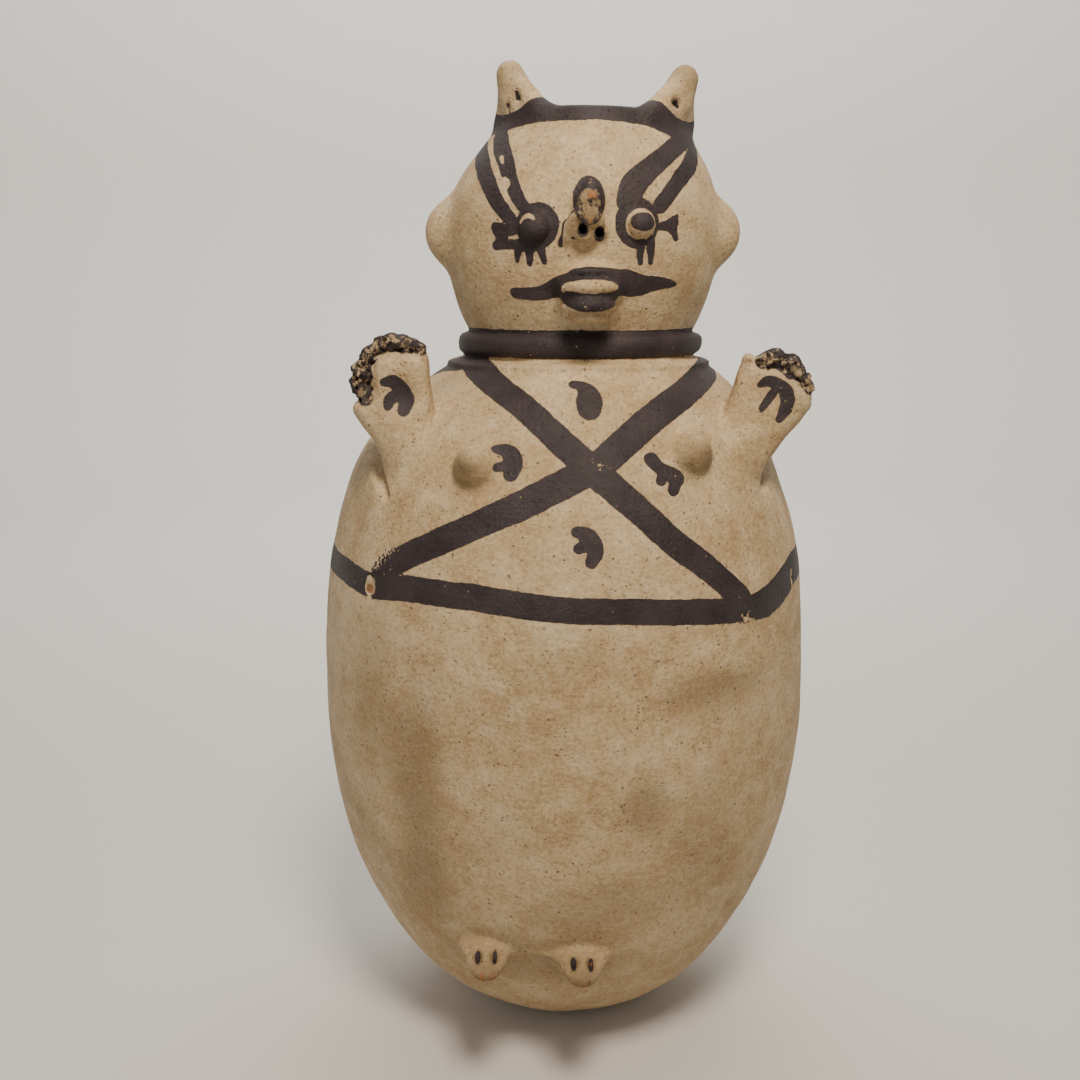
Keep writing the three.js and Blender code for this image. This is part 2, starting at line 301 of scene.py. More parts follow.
@dataclass(frozen=True)
class Ripple:
    """A seeded sum of waves: the unevenness that a hand leaves in clay.

    Attributes:
        wavelengths: The longest and shortest wave, in mm.
        waves: How many waves are summed.
        seed: The seed of their directions and phases.
    """

    wavelengths: tuple[float, float]
    waves: int
    seed: int

    def at(self, x: Vec, y: Vec, z: Vec) -> Vec:
        """Gives the ripple's height at points, about -1 to 1.

        Args:
            x: The points' X, in mm.
            y: Their Y.
            z: Their Z.

        Returns:
            The heights.
        """
        rng = np.random.default_rng(self.seed)
        longest, shortest = self.wavelengths
        total = 0.0
        for _ in range(self.waves):
            direction = unit(rng.normal(size=3))
            length = longest * (shortest / longest) ** rng.random()
            turn = 2 * math.pi / length * direction
            phase = rng.random() * 2 * math.pi
            total = total + np.cos(turn[0] * x + turn[1] * y + turn[2] * z + phase)
        return total / math.sqrt(self.waves) * 0.8


class ClayBlock:
    """A grid of space in which clay is added and cut away: the distance from its skin, below zero in clay."""

    def __init__(self, xs: Vec, ys: Vec, zs: Vec) -> None:
        """Lays out the grid.

        Args:
            xs: The grid's stops along X, in mm.
            ys: Its stops along Y.
            zs: Its stops along Z.
        """
        self.stops = tuple(axis.astype(np.float32) for axis in (xs, ys, zs))
        self.depth = np.full([len(axis) for axis in self.stops], FAR, np.float32)

    def window(self, low: Vec, high: Vec, margin: float) -> tuple[tuple[slice, ...], list[Vec]]:
        """Finds the part of the grid round a box.

        Args:
            low: The box's lowest corner.
            high: Its highest corner.
            margin: How much is added all round.

        Returns:
            The slices of the grid, and its stops there, shaped to broadcast together.
        """
        spans = zip(self.stops, low - margin, high + margin)
        slices = tuple(slice(*np.searchsorted(axis, span)) for axis, *span in spans)
        parts = [axis[part] for axis, part in zip(self.stops, slices)]
        return slices, [parts[0][:, None, None], parts[1][None, :, None], parts[2][None, None, :]]

    def add(self, form: Form, blend: float = 1.0) -> None:
        """Presses a form of clay on, with its joint smoothed over a width of blend."""
        slices, place = self.window(form.low, form.high, blend + SURROUND)
        self.depth[slices] = joined(self.depth[slices], form.distance(*place), blend)

    def cut(self, form: Form, blend: float = 0.5) -> None:
        """Takes a form out of the clay, with its edge rounded over a width of blend."""
        slices, place = self.window(form.low, form.high, blend + SURROUND)
        self.depth[slices] = -joined(-self.depth[slices], form.distance(*place), blend)

    def roughen(self, centre: Sequence[float], radius: float, height: float, ripple: Ripple) -> None:
        """Breaks up the skin round a point.

        Args:
            centre: The middle of the rough place.
            radius: How far it reaches.
            height: How high its bumps are.
            ripple: The waves that make them.
        """
        middle = np.asarray(centre, float)
        slices, (x, y, z) = self.window(middle - radius, middle + radius, 0)
        gap = np.sqrt((x - middle[0]) ** 2 + (y - middle[1]) ** 2 + (z - middle[2]) ** 2)
        self.depth[slices] += height * ripple.at(x, y, z) * (1 - eased(gap, 0.6 * radius, radius))

    def front(self, x: float, z: float) -> Vec:
        """Finds the foremost skin of the clay at a place seen from the front.

        Args:
            x: The place along X.
            z: The place along Z.

        Returns:
            The point on the skin, or the nearest the clay comes where there is none.
        """
        i, k = (int(np.abs(self.stops[n] - value).argmin()) for n, value in ((0, x), (2, z)))
        column, ys = self.depth[i, :, k], self.stops[1]
        hits = np.nonzero(column < 0)[0]
        if len(hits) == 0:
            return np.array([x, ys[column.argmin()], z])
        j = max(1, hits[0])
        share = column[j - 1] / (column[j - 1] - column[j])
        return np.array([x, ys[j - 1] + share * (ys[j] - ys[j - 1]), z])

    def skin(self) -> tuple[Vec, Vec]:
        """Draws the skin of the clay as a net of four-sided faces, with one corner in each cell it passes.

        Returns:
            The corners, in mm, and the faces as rows of four corner numbers.
        """
        depth = self.depth
        clay = depth < 0
        shape = tuple(n - 1 for n in depth.shape)
        count = np.zeros(shape, np.uint8)
        steps = [(a, b, c) for a in (0, 1) for b in (0, 1) for c in (0, 1)]
        for a, b, c in steps:
            count += clay[a : a + shape[0], b : b + shape[1], c : c + shape[2]]
        cells = np.argwhere((count > 0) & (count < 8))
        number = np.full(shape, -1, np.int32)
        number[tuple(cells.T)] = np.arange(len(cells))
        value = {s: depth[cells[:, 0] + s[0], cells[:, 1] + s[1], cells[:, 2] + s[2]] for s in steps}
        total, hits = np.zeros((len(cells), 3)), np.zeros(len(cells))
        for axis in range(3):
            for start in [s for s in steps if s[axis] == 0]:
                end = tuple(1 if n == axis else v for n, v in enumerate(start))
                first, last = value[start], value[end]
                crossed = (first < 0) != (last < 0)
                share = np.where(crossed, first / np.where(crossed, first - last, 1), 0)
                corner = np.repeat(np.array([start], float), len(cells), 0)
                corner[:, axis] = share
                total += np.where(crossed[:, None], corner, 0)
                hits += crossed
        inner = total / hits[:, None]
        corners = np.empty_like(inner)
        for axis, stops in enumerate(self.stops):
            left = stops[cells[:, axis]]
            corners[:, axis] = left + inner[:, axis] * (stops[cells[:, axis] + 1] - left)
        faces = [self._faces_across(clay, number, axis) for axis in range(3)]
        return corners, np.concatenate(faces)

    @staticmethod
    def _faces_across(clay: Vec, number: Vec, axis: int) -> Vec:
        """Makes the faces that cross the grid's edges along one axis.

        Args:
            clay: Which grid points are in the clay.
            number: The corner number of each cell.
            axis: The axis along which the edges run.

        Returns:
            The faces as rows of four corner numbers, facing out of the clay.
        """
        step = tuple(slice(1, None) if n == axis else slice(1, -1) for n in range(3))
        back = tuple(slice(None, -1) if n == axis else slice(1, -1) for n in range(3))
        before, after = clay[back], clay[step]
        edges = np.argwhere(before != after)
        outward = before[tuple(edges.T)]
        cell = edges + np.array([0 if n == axis else 1 for n in range(3)])
        b, c = (axis + 1) % 3, (axis + 2) % 3
        ring = []
        for db, dc in ((0, 0), (-1, 0), (-1, -1), (0, -1)):
            place = cell.copy()
            place[:, b] += db
            place[:, c] += dc
            ring.append(number[tuple(place.T)])
        faces = np.stack(ring, 1)
        return np.where(outward[:, None], faces, faces[:, ::-1])


@dataclass(frozen=True)
class Spot:
    """A place on the skin: its origin, and the directions to the viewer's right, up the skin and out."""

    origin: Vec
    side: Vec
    up: Vec
    out: Vec

    @property
    def axes(self) -> Vec:
        """The three directions as rows."""
        return np.stack([self.side, self.up, self.out])

    def at(self, side: float, up: float, out: float) -> Vec:
        """Gives the point at these distances from the spot."""
        return self.origin + side * self.side + up * self.up + out * self.out

    def moved(self, side: float, up: float, out: float) -> "Spot":
        """Gives the spot at these distances from this one, with the same directions."""
        return Spot(self.at(side, up, out), self.side, self.up, self.out)


def facing(place: Sequence[float]) -> Spot:
    """Gives the spot at a place that looks straight to the front."""
    return Spot(
        np.asarray(place, float), np.array([1.0, 0, 0]), np.array([0, 0, 1.0]), np.array([0, -1.0, 0]))


@dataclass
class Stroke:
    """One pull of the brush.

    Attributes:
        points: Where it goes: X and Z as seen from the front, or X, Y and Z.
        widths: Its width at each point.
    """

    points: Sequence[Point]
    widths: Sequence[float]
    line: Vec = field(init=False, repr=False)
    half: Vec = field(init=False, repr=False)

    def lay(self, clay: ClayBlock) -> None:
        """Lays the stroke's centre line on the clay, as closely spaced points on a smooth curve.

        Args:
            clay: The block of clay.
        """
        ends = [clay.front(*p) if len(p) == 2 else np.asarray(p, float) for p in self.points]
        knots = np.stack(ends)
        gaps = np.linalg.norm(np.diff(knots, axis=0), axis=1)
        at = np.concatenate([[0], np.cumsum(np.maximum(gaps, 1e-3))])
        straight = np.repeat(np.diff(knots[:2], axis=0) / at[1], 2, 0)
        slopes = np.gradient(knots, at, axis=0) if len(knots) > 2 else straight
        spots = np.linspace(0, at[-1], max(2, int(at[-1] / STROKE_STEP)))
        i = np.clip(np.searchsorted(at, spots, "right") - 1, 0, len(at) - 2)
        span = (at[i + 1] - at[i])[:, None]
        t = (spots - at[i])[:, None] / span
        rise, fall = t * t * (3 - 2 * t), t * t * (t - 1)
        lead = t * (1 - t) ** 2
        self.line = knots[i] * (1 - rise) + knots[i + 1] * rise + span * (
            lead * slopes[i] + fall * slopes[i + 1])
        self.half = np.interp(spots, at, self.widths) / 2

    def inside(self, points: Vec) -> Vec:
        """Measures how far points are inside the stroke.

        Args:
            points: The points, in mm.

        Returns:
            The distance from its edge, above zero inside.
        """
        found = np.full(len(points), OUTSIDE)
        margin = self.half.max() + EDGE_REACH
        near = np.all((points > self.line.min(0) - margin) & (points < self.line.max(0) + margin), 1)
        chosen = np.nonzero(near)[0]
        for part in np.array_split(chosen, len(chosen) * len(self.line) // PAIRS_AT_ONCE + 1):
            gap = np.linalg.norm(points[part][:, None, :] - self.line[None], axis=2)
            found[part] = (self.half[None] - gap).max(1, initial=OUTSIDE)
        return found


@dataclass
class Disc:
    """A round or oval dab of slip.

    Attributes:
        spot: Its middle and its directions.
        radii: Its radius to the side and upward.
        reach: How far it takes hold in front of and behind its middle.
    """

    spot: Spot
    radii: tuple[float, float]
    reach: float = 12.0

    def lay(self, clay: ClayBlock) -> None:
        """A dab is already where its spot is."""

    def inside(self, points: Vec) -> Vec:
        """Measures how far points are inside the dab.

        Args:
            points: The points, in mm.

        Returns:
            The distance from its edge, above zero inside.
        """
        side, up, out = (self.spot.axes @ (points - self.spot.origin).T)
        near = np.sqrt((side / self.radii[0]) ** 2 + (up / self.radii[1]) ** 2)
        steep = np.sqrt((side / self.radii[0] ** 2) ** 2 + (up / self.radii[1] ** 2) ** 2)
        gap = near * (1 - near) / np.maximum(steep, TINY)
        return np.maximum(np.minimum(gap, self.reach - np.abs(out)), OUTSIDE)


@dataclass
class Band:
    """A band of slip that runs right round the jar.

    Attributes:
        middle: Its middle height at some angles round the jar, as pairs of degrees and height.
        width: Its width, or the widths at the same angles.
        vessel: The vessel that it runs round.
        reach: How far out of the vessel's skin it takes hold.
        depth: And how far into it, so that it leaves the inner face of the wall bare.
    """

    middle: Sequence[tuple[float, float]]
    widths: Sequence[float]
    vessel: "Vessel"
    reach: float = 8.0
    depth: float = 3.5

    def lay(self, clay: ClayBlock) -> None:
        """A band is already laid by its heights."""

    def inside(self, points: Vec) -> Vec:
        """Measures how far points are inside the band.

        Args:
            points: The points, in mm.

        Returns:
            The distance from its edge, above zero inside.
        """
        degrees, heights = np.array(self.middle).T
        angle = self.vessel.angle(points)
        height = np.interp(angle, degrees, heights, period=360)
        half = np.interp(angle, degrees, self.widths, period=360) / 2
        aside = points[:, 0] - self.vessel.shift(points[:, 2])
        away = np.hypot(aside, points[:, 1] / self.vessel.depth_share) - self.vessel.radius(points[:, 2])
        across = half - np.abs(points[:, 2] - height)
        return np.maximum(np.minimum.reduce([across, self.reach - away, away + self.depth]), OUTSIDE)


@dataclass
class Patch:
    """A soft patch where age or handling shows; stain patches also lay painted shade.

    Attributes:
        touch: What shows there.
        centre: Its middle.
        radii: Its reach along X, Y and Z.
        strength: How strongly it shows at its middle, from 0 to 1.
    """

    touch: Touch
    centre: Sequence[float]
    radii: Sequence[float]
    strength: float

    def at(self, points: Vec) -> Vec:
        """Gives the patch's strength at points."""
        gap = (((points - np.asarray(self.centre)) / np.asarray(self.radii)) ** 2).sum(1)
        return self.strength * np.exp(-WEAR_FALL * gap * gap)


class SlipWork:
    """All that is laid on the clay: the marks, in the order of painting, and the patches of wear, with
    painted shade among both.
    """

    def __init__(self, clay: ClayBlock) -> None:
        """Starts with nothing painted on the clay.

        Args:
            clay: The block of clay.
        """
        self.clay = clay
        self.marks: list[tuple[Slip, Stroke | Disc | Band]] = []
        self.patches: list[Patch] = []

    def mark(self, slip: Slip, *marks: Stroke | Disc | Band) -> None:
        """Lays marks of a slip over what is there.

        Args:
            slip: The slip.
            marks: The marks, in the order of painting.
        """
        for each in marks:
            each.lay(self.clay)
            self.marks.append((slip, each))

    def patch(self, touch: Touch, centre: Sequence[float], radii: Sequence[float], strength: float) -> None:
        """Adds a patch of wear, of stain or of painted shade."""
        self.patches.append(Patch(touch, centre, radii, strength))

    def dark(self, points: Vec) -> Vec:
        """Measures how far points are inside the dark slip.

        Args:
            points: The points, in mm.

        Returns:
            The distance from the slip's edge, above zero in the slip.
        """
        found = np.full(len(points), OUTSIDE)
        for slip, each in self.marks:
            here = each.inside(points)
            found = np.maximum(found, here) if slip is Slip.DARK else np.minimum(found, -here)
        return np.clip(found, -EDGE_REACH, EDGE_REACH)

    def touched(self, touch: Touch, points: Vec) -> Vec:
        """Gives how strongly one kind of wear shows at points, from 0 to 1.

        Args:
            touch: The kind of wear.
            points: The points, in mm.

        Returns:
            The strengths.
        """
        left = np.ones(len(points))
        for each in self.patches:
            if each.touch is touch:
                left *= 1 - np.clip(each.at(points), 0, 1)
        return 1 - left


@dataclass
class Vessel:
    """The hollow body and head, turned about an axis that leans to the viewer's right at the neck.

    Attributes:
        body_height: From the floor to the middle of the collar.
        head_height: From the middle of the collar to the rim.
        depth_share: Depth of body and head over their width.
        head_shift: How far the head sits to the viewer's right of the base.
        rim_shift: And the rim further still.
        belly_share: Where the body is widest, over its height.
        cheek_share: Where the head is widest, over its height.
        crown_share: How far the crown's curve would rise, over the height left for it.
        belly_fullness: How squarely the belly is rounded, where 2 is a circle.
        collar_fullness: The same for the collar's bead.
        swell_height: How far the wall swells and sinks over a hand's breadth.
        dimple_height: And over a finger's.
        section_reach: How far from the axis the wall is measured.
        section_step: And at what steps.
    """

    body_height: float = 328.0
    head_height: float = 99.0
    body_radius: float = 115.0
    base_radius: float = 30.0
    neck_radius: float = 51.0
    head_swell: float = 11.2
    rim_radius: float = 42.5
    depth_share: float = 0.92
    wall: float = 6.0
    floor_thickness: float = 8.0
    collar_height: float = 10.0
    collar_reach: float = 5.4
    ridge_reach: float = 4.0
    head_shift: float = 7.8
    rim_shift: float = 5.2
    belly_fullness: float = 2.2
    shoulder_fullness: float = 2.45
    rim_blend: float = 10.0
    belly_share: float = 0.518
    cheek_share: float = 0.505
    crown_share: float = 1.13
    collar_fullness: float = 2.8
    swell_height: float = 0.75
    dimple_height: float = 0.16
    section_reach: float = 140.0
    section_step: float = 0.75

    @property
    def jar_height(self) -> float:
        """Height of the rim."""
        return self.body_height + self.head_height

    @property
    def belly_height(self) -> float:
        """Height where the body is widest."""
        return self.belly_share * self.body_height

    @property
    def cheek_height(self) -> float:
        """Height where the head is widest."""
        return self.body_height + self.cheek_share * self.head_height

    def radius(self, height: Vec, inset: float = 0.0) -> Vec:
        """Gives the vessel's radius at heights.

        Args:
            height: The heights.
            inset: 0 for the outer skin, or the wall for the inner one.

        Returns:
            The radii.
        """
        z = np.atleast_1d(np.asarray(height, float))
        neck, body = self.neck_radius - inset, self.body_radius - inset
        head = self.neck_radius + self.head_swell - inset
        low = self.body_height - self.collar_height / 2 - inset
        high = self.body_height + self.collar_height / 2 + inset
        end = (self.base_radius, 0.0) if inset == 0 else (0.0, self.floor_thickness)
        crown_rise = self.crown_share * (self.jar_height - self.cheek_height) - inset

        def rounded(gap: Vec, reach: float, rise: float, full: float) -> Vec:
            """Gives the radius at a gap above or below the widest place."""
            return reach * (1 - np.clip(gap / rise, 0, 1) ** full) ** (1 / full)

        def rise_through(radius: float, gap: float, reach: float, full: float) -> float:
            """Gives the rise that brings the curve to a radius at a gap."""
            return gap / (1 - (radius / reach) ** full) ** (1 / full)

        belly_rise = rise_through(end[0], self.belly_height - end[1], body, self.belly_fullness)
        shoulder_rise = rise_through(neck, low - self.belly_height, body, self.shoulder_fullness)
        cheek_rise = rise_through(neck, self.cheek_height - high, head, 2)
        crown = rounded(z - self.cheek_height, head, crown_rise, 2)
        rim = self.rim_radius - inset
        overlap = np.maximum(0, 1 - np.abs(crown - rim) / self.rim_blend)
        return np.select(
            [z < self.belly_height, z < low, z < high, z < self.cheek_height],
            [
                rounded(self.belly_height - z, body, belly_rise, self.belly_fullness),
                rounded(z - self.belly_height, body, shoulder_rise, self.shoulder_fullness),
                np.full_like(z, neck),
                rounded(self.cheek_height - z, head, cheek_rise, 2),
            ],
            np.maximum(crown, rim) + self.rim_blend / 4 * overlap * overlap,
        )

    def shift(self, height: Vec) -> Vec:
        """Gives the sideways shift of the vessel's axis at heights.

        Args:
            height: The heights.

        Returns:
            The shifts.
        """
        z = np.asarray(height, float)
        head = eased(z, 0.8 * self.body_height, 1.035 * self.body_height)
        rim = eased(z, self.cheek_height + 0.1 * self.head_height, self.jar_height + 0.05 * self.head_height)
        return self.head_shift * head + self.rim_shift * rim

    def angle(self, points: Vec) -> Vec:
        """Gives points' angle round the jar, in degrees: 0 is the front, positive the viewer's right."""
        aside = points[:, 0] - self.shift(points[:, 2])
        return np.degrees(np.arctan2(aside, -points[:, 1] / self.depth_share))

    def skin_point(self, degrees: float, height: float) -> Vec:
        """Gives a point on the outer skin.

        Args:
            degrees: The point's angle round the jar.
            height: Its height.

        Returns:
            The point.
        """
        turn, reach = math.radians(degrees), float(self.radius(height)[0])
        x = float(self.shift(height)) + reach * math.sin(turn)
        return np.array([x, -self.depth_share * reach * math.cos(turn), height])

    def spot(self, degrees: float, height: float, level: bool = False) -> Spot:
        """Finds a place on the outer skin.

        Args:
            degrees: Its angle round the jar.
            height: Its height.
            level: Whether its up is the jar's up, and not the slope of the skin.

        Returns:
            The place with its directions.
        """
        side = unit(self.skin_point(degrees + 0.5, height) - self.skin_point(degrees - 0.5, height))
        rise = unit(self.skin_point(degrees, height + 0.5) - self.skin_point(degrees, height - 0.5))
        out = unit(np.cross(side, [0.0, 0.0, 1.0] if level else rise))
        return Spot(self.skin_point(degrees, height), side, np.cross(out, side), out)

    def section(self) -> Vec:
        """Draws half of the vessel's section, as points of radius and height round the wall.

        Returns:
            The points, in order.
        """
        top = self.jar_height - self.wall / 2
        heights = np.concatenate([np.linspace(0, 20, 24), np.linspace(21, top, 330)])
        outer = self.radius(heights)
        bead = (heights - self.body_height) / (self.collar_height / 2)
        bulge = np.clip(1 - np.abs(bead) ** self.collar_fullness, 0, 1)
        outer += self.collar_reach * bulge ** (1 / self.collar_fullness)
        ridge = (heights - self.body_height + 0.78 * self.collar_height) / (0.2 * self.collar_height)
        outer += self.ridge_reach * np.clip(1 - ridge * ridge, 0, 1)
        turn = np.radians(np.linspace(0, 180, 12))
        middle = float(self.radius(top)[0]) - self.wall / 2
        lip = np.stack([middle + self.wall / 2 * np.cos(turn), top + self.wall / 2 * np.sin(turn)], 1)
        fine = self.floor_thickness + np.linspace(0, 1, 30) ** 2 * 20
        inner_heights = np.concatenate([np.linspace(top, fine[-1] + 1, 240), fine[::-1]])
        inner = np.stack([self.radius(inner_heights, self.wall), inner_heights], 1)
        return np.concatenate([
            [[0, 0]], np.stack([outer, heights], 1), lip[1:-1], inner, [[0, self.floor_thickness]]])

    def model(self, clay: ClayBlock) -> None:
        """Fills the block with the vessel's wall, uneven as coils drawn up and paddled by hand are.

        Args:
            clay: The block of clay.
        """
        xs, ys, zs = clay.stops
        reach = np.arange(0, self.section_reach, self.section_step)
        wall = self._wall_distance(reach, zs)
        swell = Ripple((150, 60), 7, 11)
        dimple = Ripple((34, 15), 10, 12)
        for k, z in enumerate(zs):
            aside = xs[:, None] - float(self.shift(z))
            rho = np.sqrt(aside**2 + (ys[None, :] / self.depth_share) ** 2)
            layer = np.interp(rho.ravel(), reach, wall[:, k]).reshape(rho.shape)
            uneven = self.swell_height * swell.at(xs[:, None], ys[None, :], z)
            layer += uneven + self.dimple_height * dimple.at(xs[:, None], ys[None, :], z)
            clay.depth[:, :, k] = np.maximum(layer, -z)

    def _wall_distance(self, reach: Vec, heights: Vec) -> Vec:
        """Measures the distance from the wall's skin at each radius and height, below zero in the clay.

        Args:
            reach: The radii.
            heights: The heights.

        Returns:
            The distances, by radius and height.
        """
        outline = self.section()
        start, run = outline, np.roll(outline, -1, 0) - outline
        r, z = (a.ravel() for a in np.meshgrid(reach, heights.astype(float), indexing="ij"))
        nearest, crossings = np.full(len(r), np.inf), np.zeros(len(r), int)
        for (r0, z0), (dr, dz) in zip(start, run):
            length = dr * dr + dz * dz
            if length == 0:
                continue
            share = np.clip(((r - r0) * dr + (z - z0) * dz) / length, 0, 1)
            if r0 > 0 or r0 + dr > 0:
                nearest = np.minimum(nearest, (r - r0 - share * dr) ** 2 + (z - z0 - share * dz) ** 2)
            if dz != 0:
                level = (z - z0) / dz
                crossings += (level >= 0) & (level < 1) & (r < r0 + level * dr)
        signed = np.sqrt(nearest) * np.where(crossings % 2 == 1, -1, 1)
        return signed.reshape(len(reach), len(heights))

    def paint(self, work: SlipWork) -> None:
        """Paints the belt, the collar and the band round the rim.

        Args:
            work: What is laid on the clay.
        """
        belt = [
            (-150, 229), (-95, 231), (-62, 231), (-48, 229), (-36, 231.5), (-20, 231.3), (0, 227.6),
            (15, 226.2), (29, 223.8), (42, 221), (50, 221.6), (58, 225), (68, 229.6), (95, 231), (150, 230)]
        work.mark(Slip.DARK, Band(belt, [10.8] * 5 + [10.6] * 4 + [10.2, 13.6, 15.0, 14.2, 12.0, 11.4], self))
        work.mark(Slip.DARK, Band([(0, self.body_height + 1.2)], [self.collar_height + 2], self))
        edge = [
            (-150, 419), (-90, 418), (-57, 418.4), (-35, 420.3), (0, 420.8), (28, 419.0), (51, 413.8),
            (80, 414), (110, 418)]
        over = 20.0  # past the lip, so that the band takes in the rim's top
        headband = Band([(turn, low + over / 2) for turn, low in edge], [over] * len(edge), self, depth=8.0)
        work.mark(Slip.DARK, headband)


@dataclass
class Eye:
    """A pellet of clay pressed on the face in a painted ring, with claws below and a fish's tail beside."""

    side: Side
    degrees: float
    height: float
    radius: float
    reach: float
    ring: tuple[float, float]
    ring_offset: tuple[float, float]  # to the side and up
    groove: float = 0.7

    def pellet(self, vessel: Vessel) -> Spot:
        """Finds the pellet's place."""
        return vessel.spot(self.degrees, self.height)

    def model(self, clay: ClayBlock, vessel: Vessel) -> None:
        """Presses the pellet on.

        Args:
            clay: The block of clay.
            vessel: The vessel.
        """
        sunk = 0.3 * self.radius
        spot = self.pellet(vessel)
        clay.add(egg(spot.at(0, 0, -sunk), (self.radius, self.radius, self.reach + sunk), spot.axes), 0.7)
        turns = np.radians(np.arange(190, 351, 20))
        seam = [tuple(spot.at(self.radius * math.cos(t), self.radius * math.sin(t), 0.4)) for t in turns]
        clay.cut(limb(seam, [self.groove] * len(seam)), 0.8)

    def paint(self, work: SlipWork, vessel: Vessel) -> None:
        """Paints the ring and the pellet's gaze.

        Args:
            work: What is laid on the clay.
            vessel: The vessel.
        """
        spot = self.pellet(vessel)
        work.mark(Slip.DARK, Disc(spot.moved(*self.ring_offset, 0), self.ring, 6))
        if self.side is Side.LEFT:
            work.mark(Slip.CREAM, Disc(spot.moved(-1.9, 0.9, self.reach), (4.1, 4.5), 3.6))
            work.mark(Slip.DARK, Disc(spot.moved(-1.0, -0.7, self.reach), (3.5, 4.2), 5))
            tail = [
                Stroke([(-20, 376.4), (-25, 376.2), (-30.2, 377.5)], [4.6, 5, 4.4]),
                Stroke([(-19.5, 370.4), (-24.5, 370.5), (-29.8, 370.2)], [4, 4.2, 4]),
                Stroke([(-29.2, 376.2), (-27, 373.4), (-28.6, 370.9)], [4.6, 6.2, 4.6])]
            claws = [
                Stroke([(-20, 368.9), (-20.7, 366), (-20.6, 363.8)], [4, 3, 2.5]),
                Stroke([(-15.6, 368.4), (-15.5, 365), (-15.5, 362.6)], [4.6, 3.2, 2.6]),
                Stroke([(-11.2, 368.8), (-10.2, 365.6), (-9.5, 363)], [4.2, 3, 2.5]),
                Stroke([(-19.8, 369.6), (-11, 369.4)], [4.4, 4.4])]
        else:
            work.mark(Slip.CREAM, Disc(spot.moved(0, 0, 2.5), (6.5, 6.5), 4.5))
            work.mark(Slip.DARK, Disc(spot.moved(-0.1, 0.9, self.reach), (5.4, 3.8), 6))
            tail = [
                Stroke([(37.4, 377.5), (41, 377.8), (44.6, 379.8)], [2.8, 4.6, 5]),
                Stroke([(41, 377), (43.6, 376), (45.2, 373.4)], [2.6, 3.6, 3.2]),
                Stroke([(45.6, 381.8), (44.6, 377.4), (45.8, 373.4)], [2.2, 3.4, 2.2])]
            claws = [
                Stroke([(30.4, 370.6), (29.8, 366.5), (30.1, 363.2)], [4.4, 3, 2.5]),
                Stroke([(34.2, 370.8), (34.7, 366.5), (34.7, 363.2)], [4.4, 3, 2.5])]
        work.mark(Slip.DARK, *tail, *claws)


@dataclass
class Brows:
    """The two pairs of painted bands that slant from the rim down to the eyes."""

    def paint(self, work: SlipWork) -> None:
        """Paints both pairs, with the cream strip between them left open.

        Args:
            work: What is laid on the clay.
        """
        left_outer = Stroke(
            [(-34.6, 417.5), (-36.6, 412), (-35.6, 404.2), (-32.8, 395.7), (-28.8, 387), (-23, 380)],
            [5, 8, 8.2, 7.6, 6.8, 5.5])
        left_inner = Stroke(
            [(-28.9, 418.9), (-27.7, 410.6), (-25.1, 403), (-22.9, 395.1), (-19.6, 387.6), (-16.4, 382)],
            [8.6, 8.4, 7.4, 6.4, 5.8, 5.4])
        right_inner = Stroke(
            [(49.8, 414.5), (41.8, 407.6), (33.5, 400.4), (26.8, 393.7), (24.2, 387.2)],
            [8, 8.4, 9.2, 11, 9.4])
        right_outer = Stroke([(55.6, 413.6), (52.8, 404.9), (45.8, 395.5), (38.3, 386)], [5.5, 8, 7, 6.8])
        work.mark(Slip.DARK, left_outer, left_inner, right_inner, right_outer)
        work.mark(Slip.CREAM, Stroke([(-27.5, 406.4), (-26.6, 403.6)], [2.4, 1.4]))
        work.mark(Slip.CREAM, Stroke([(-26.4, 397.6), (-25, 395), (-25.8, 392.4)], [1.2, 3.6, 1.4]))


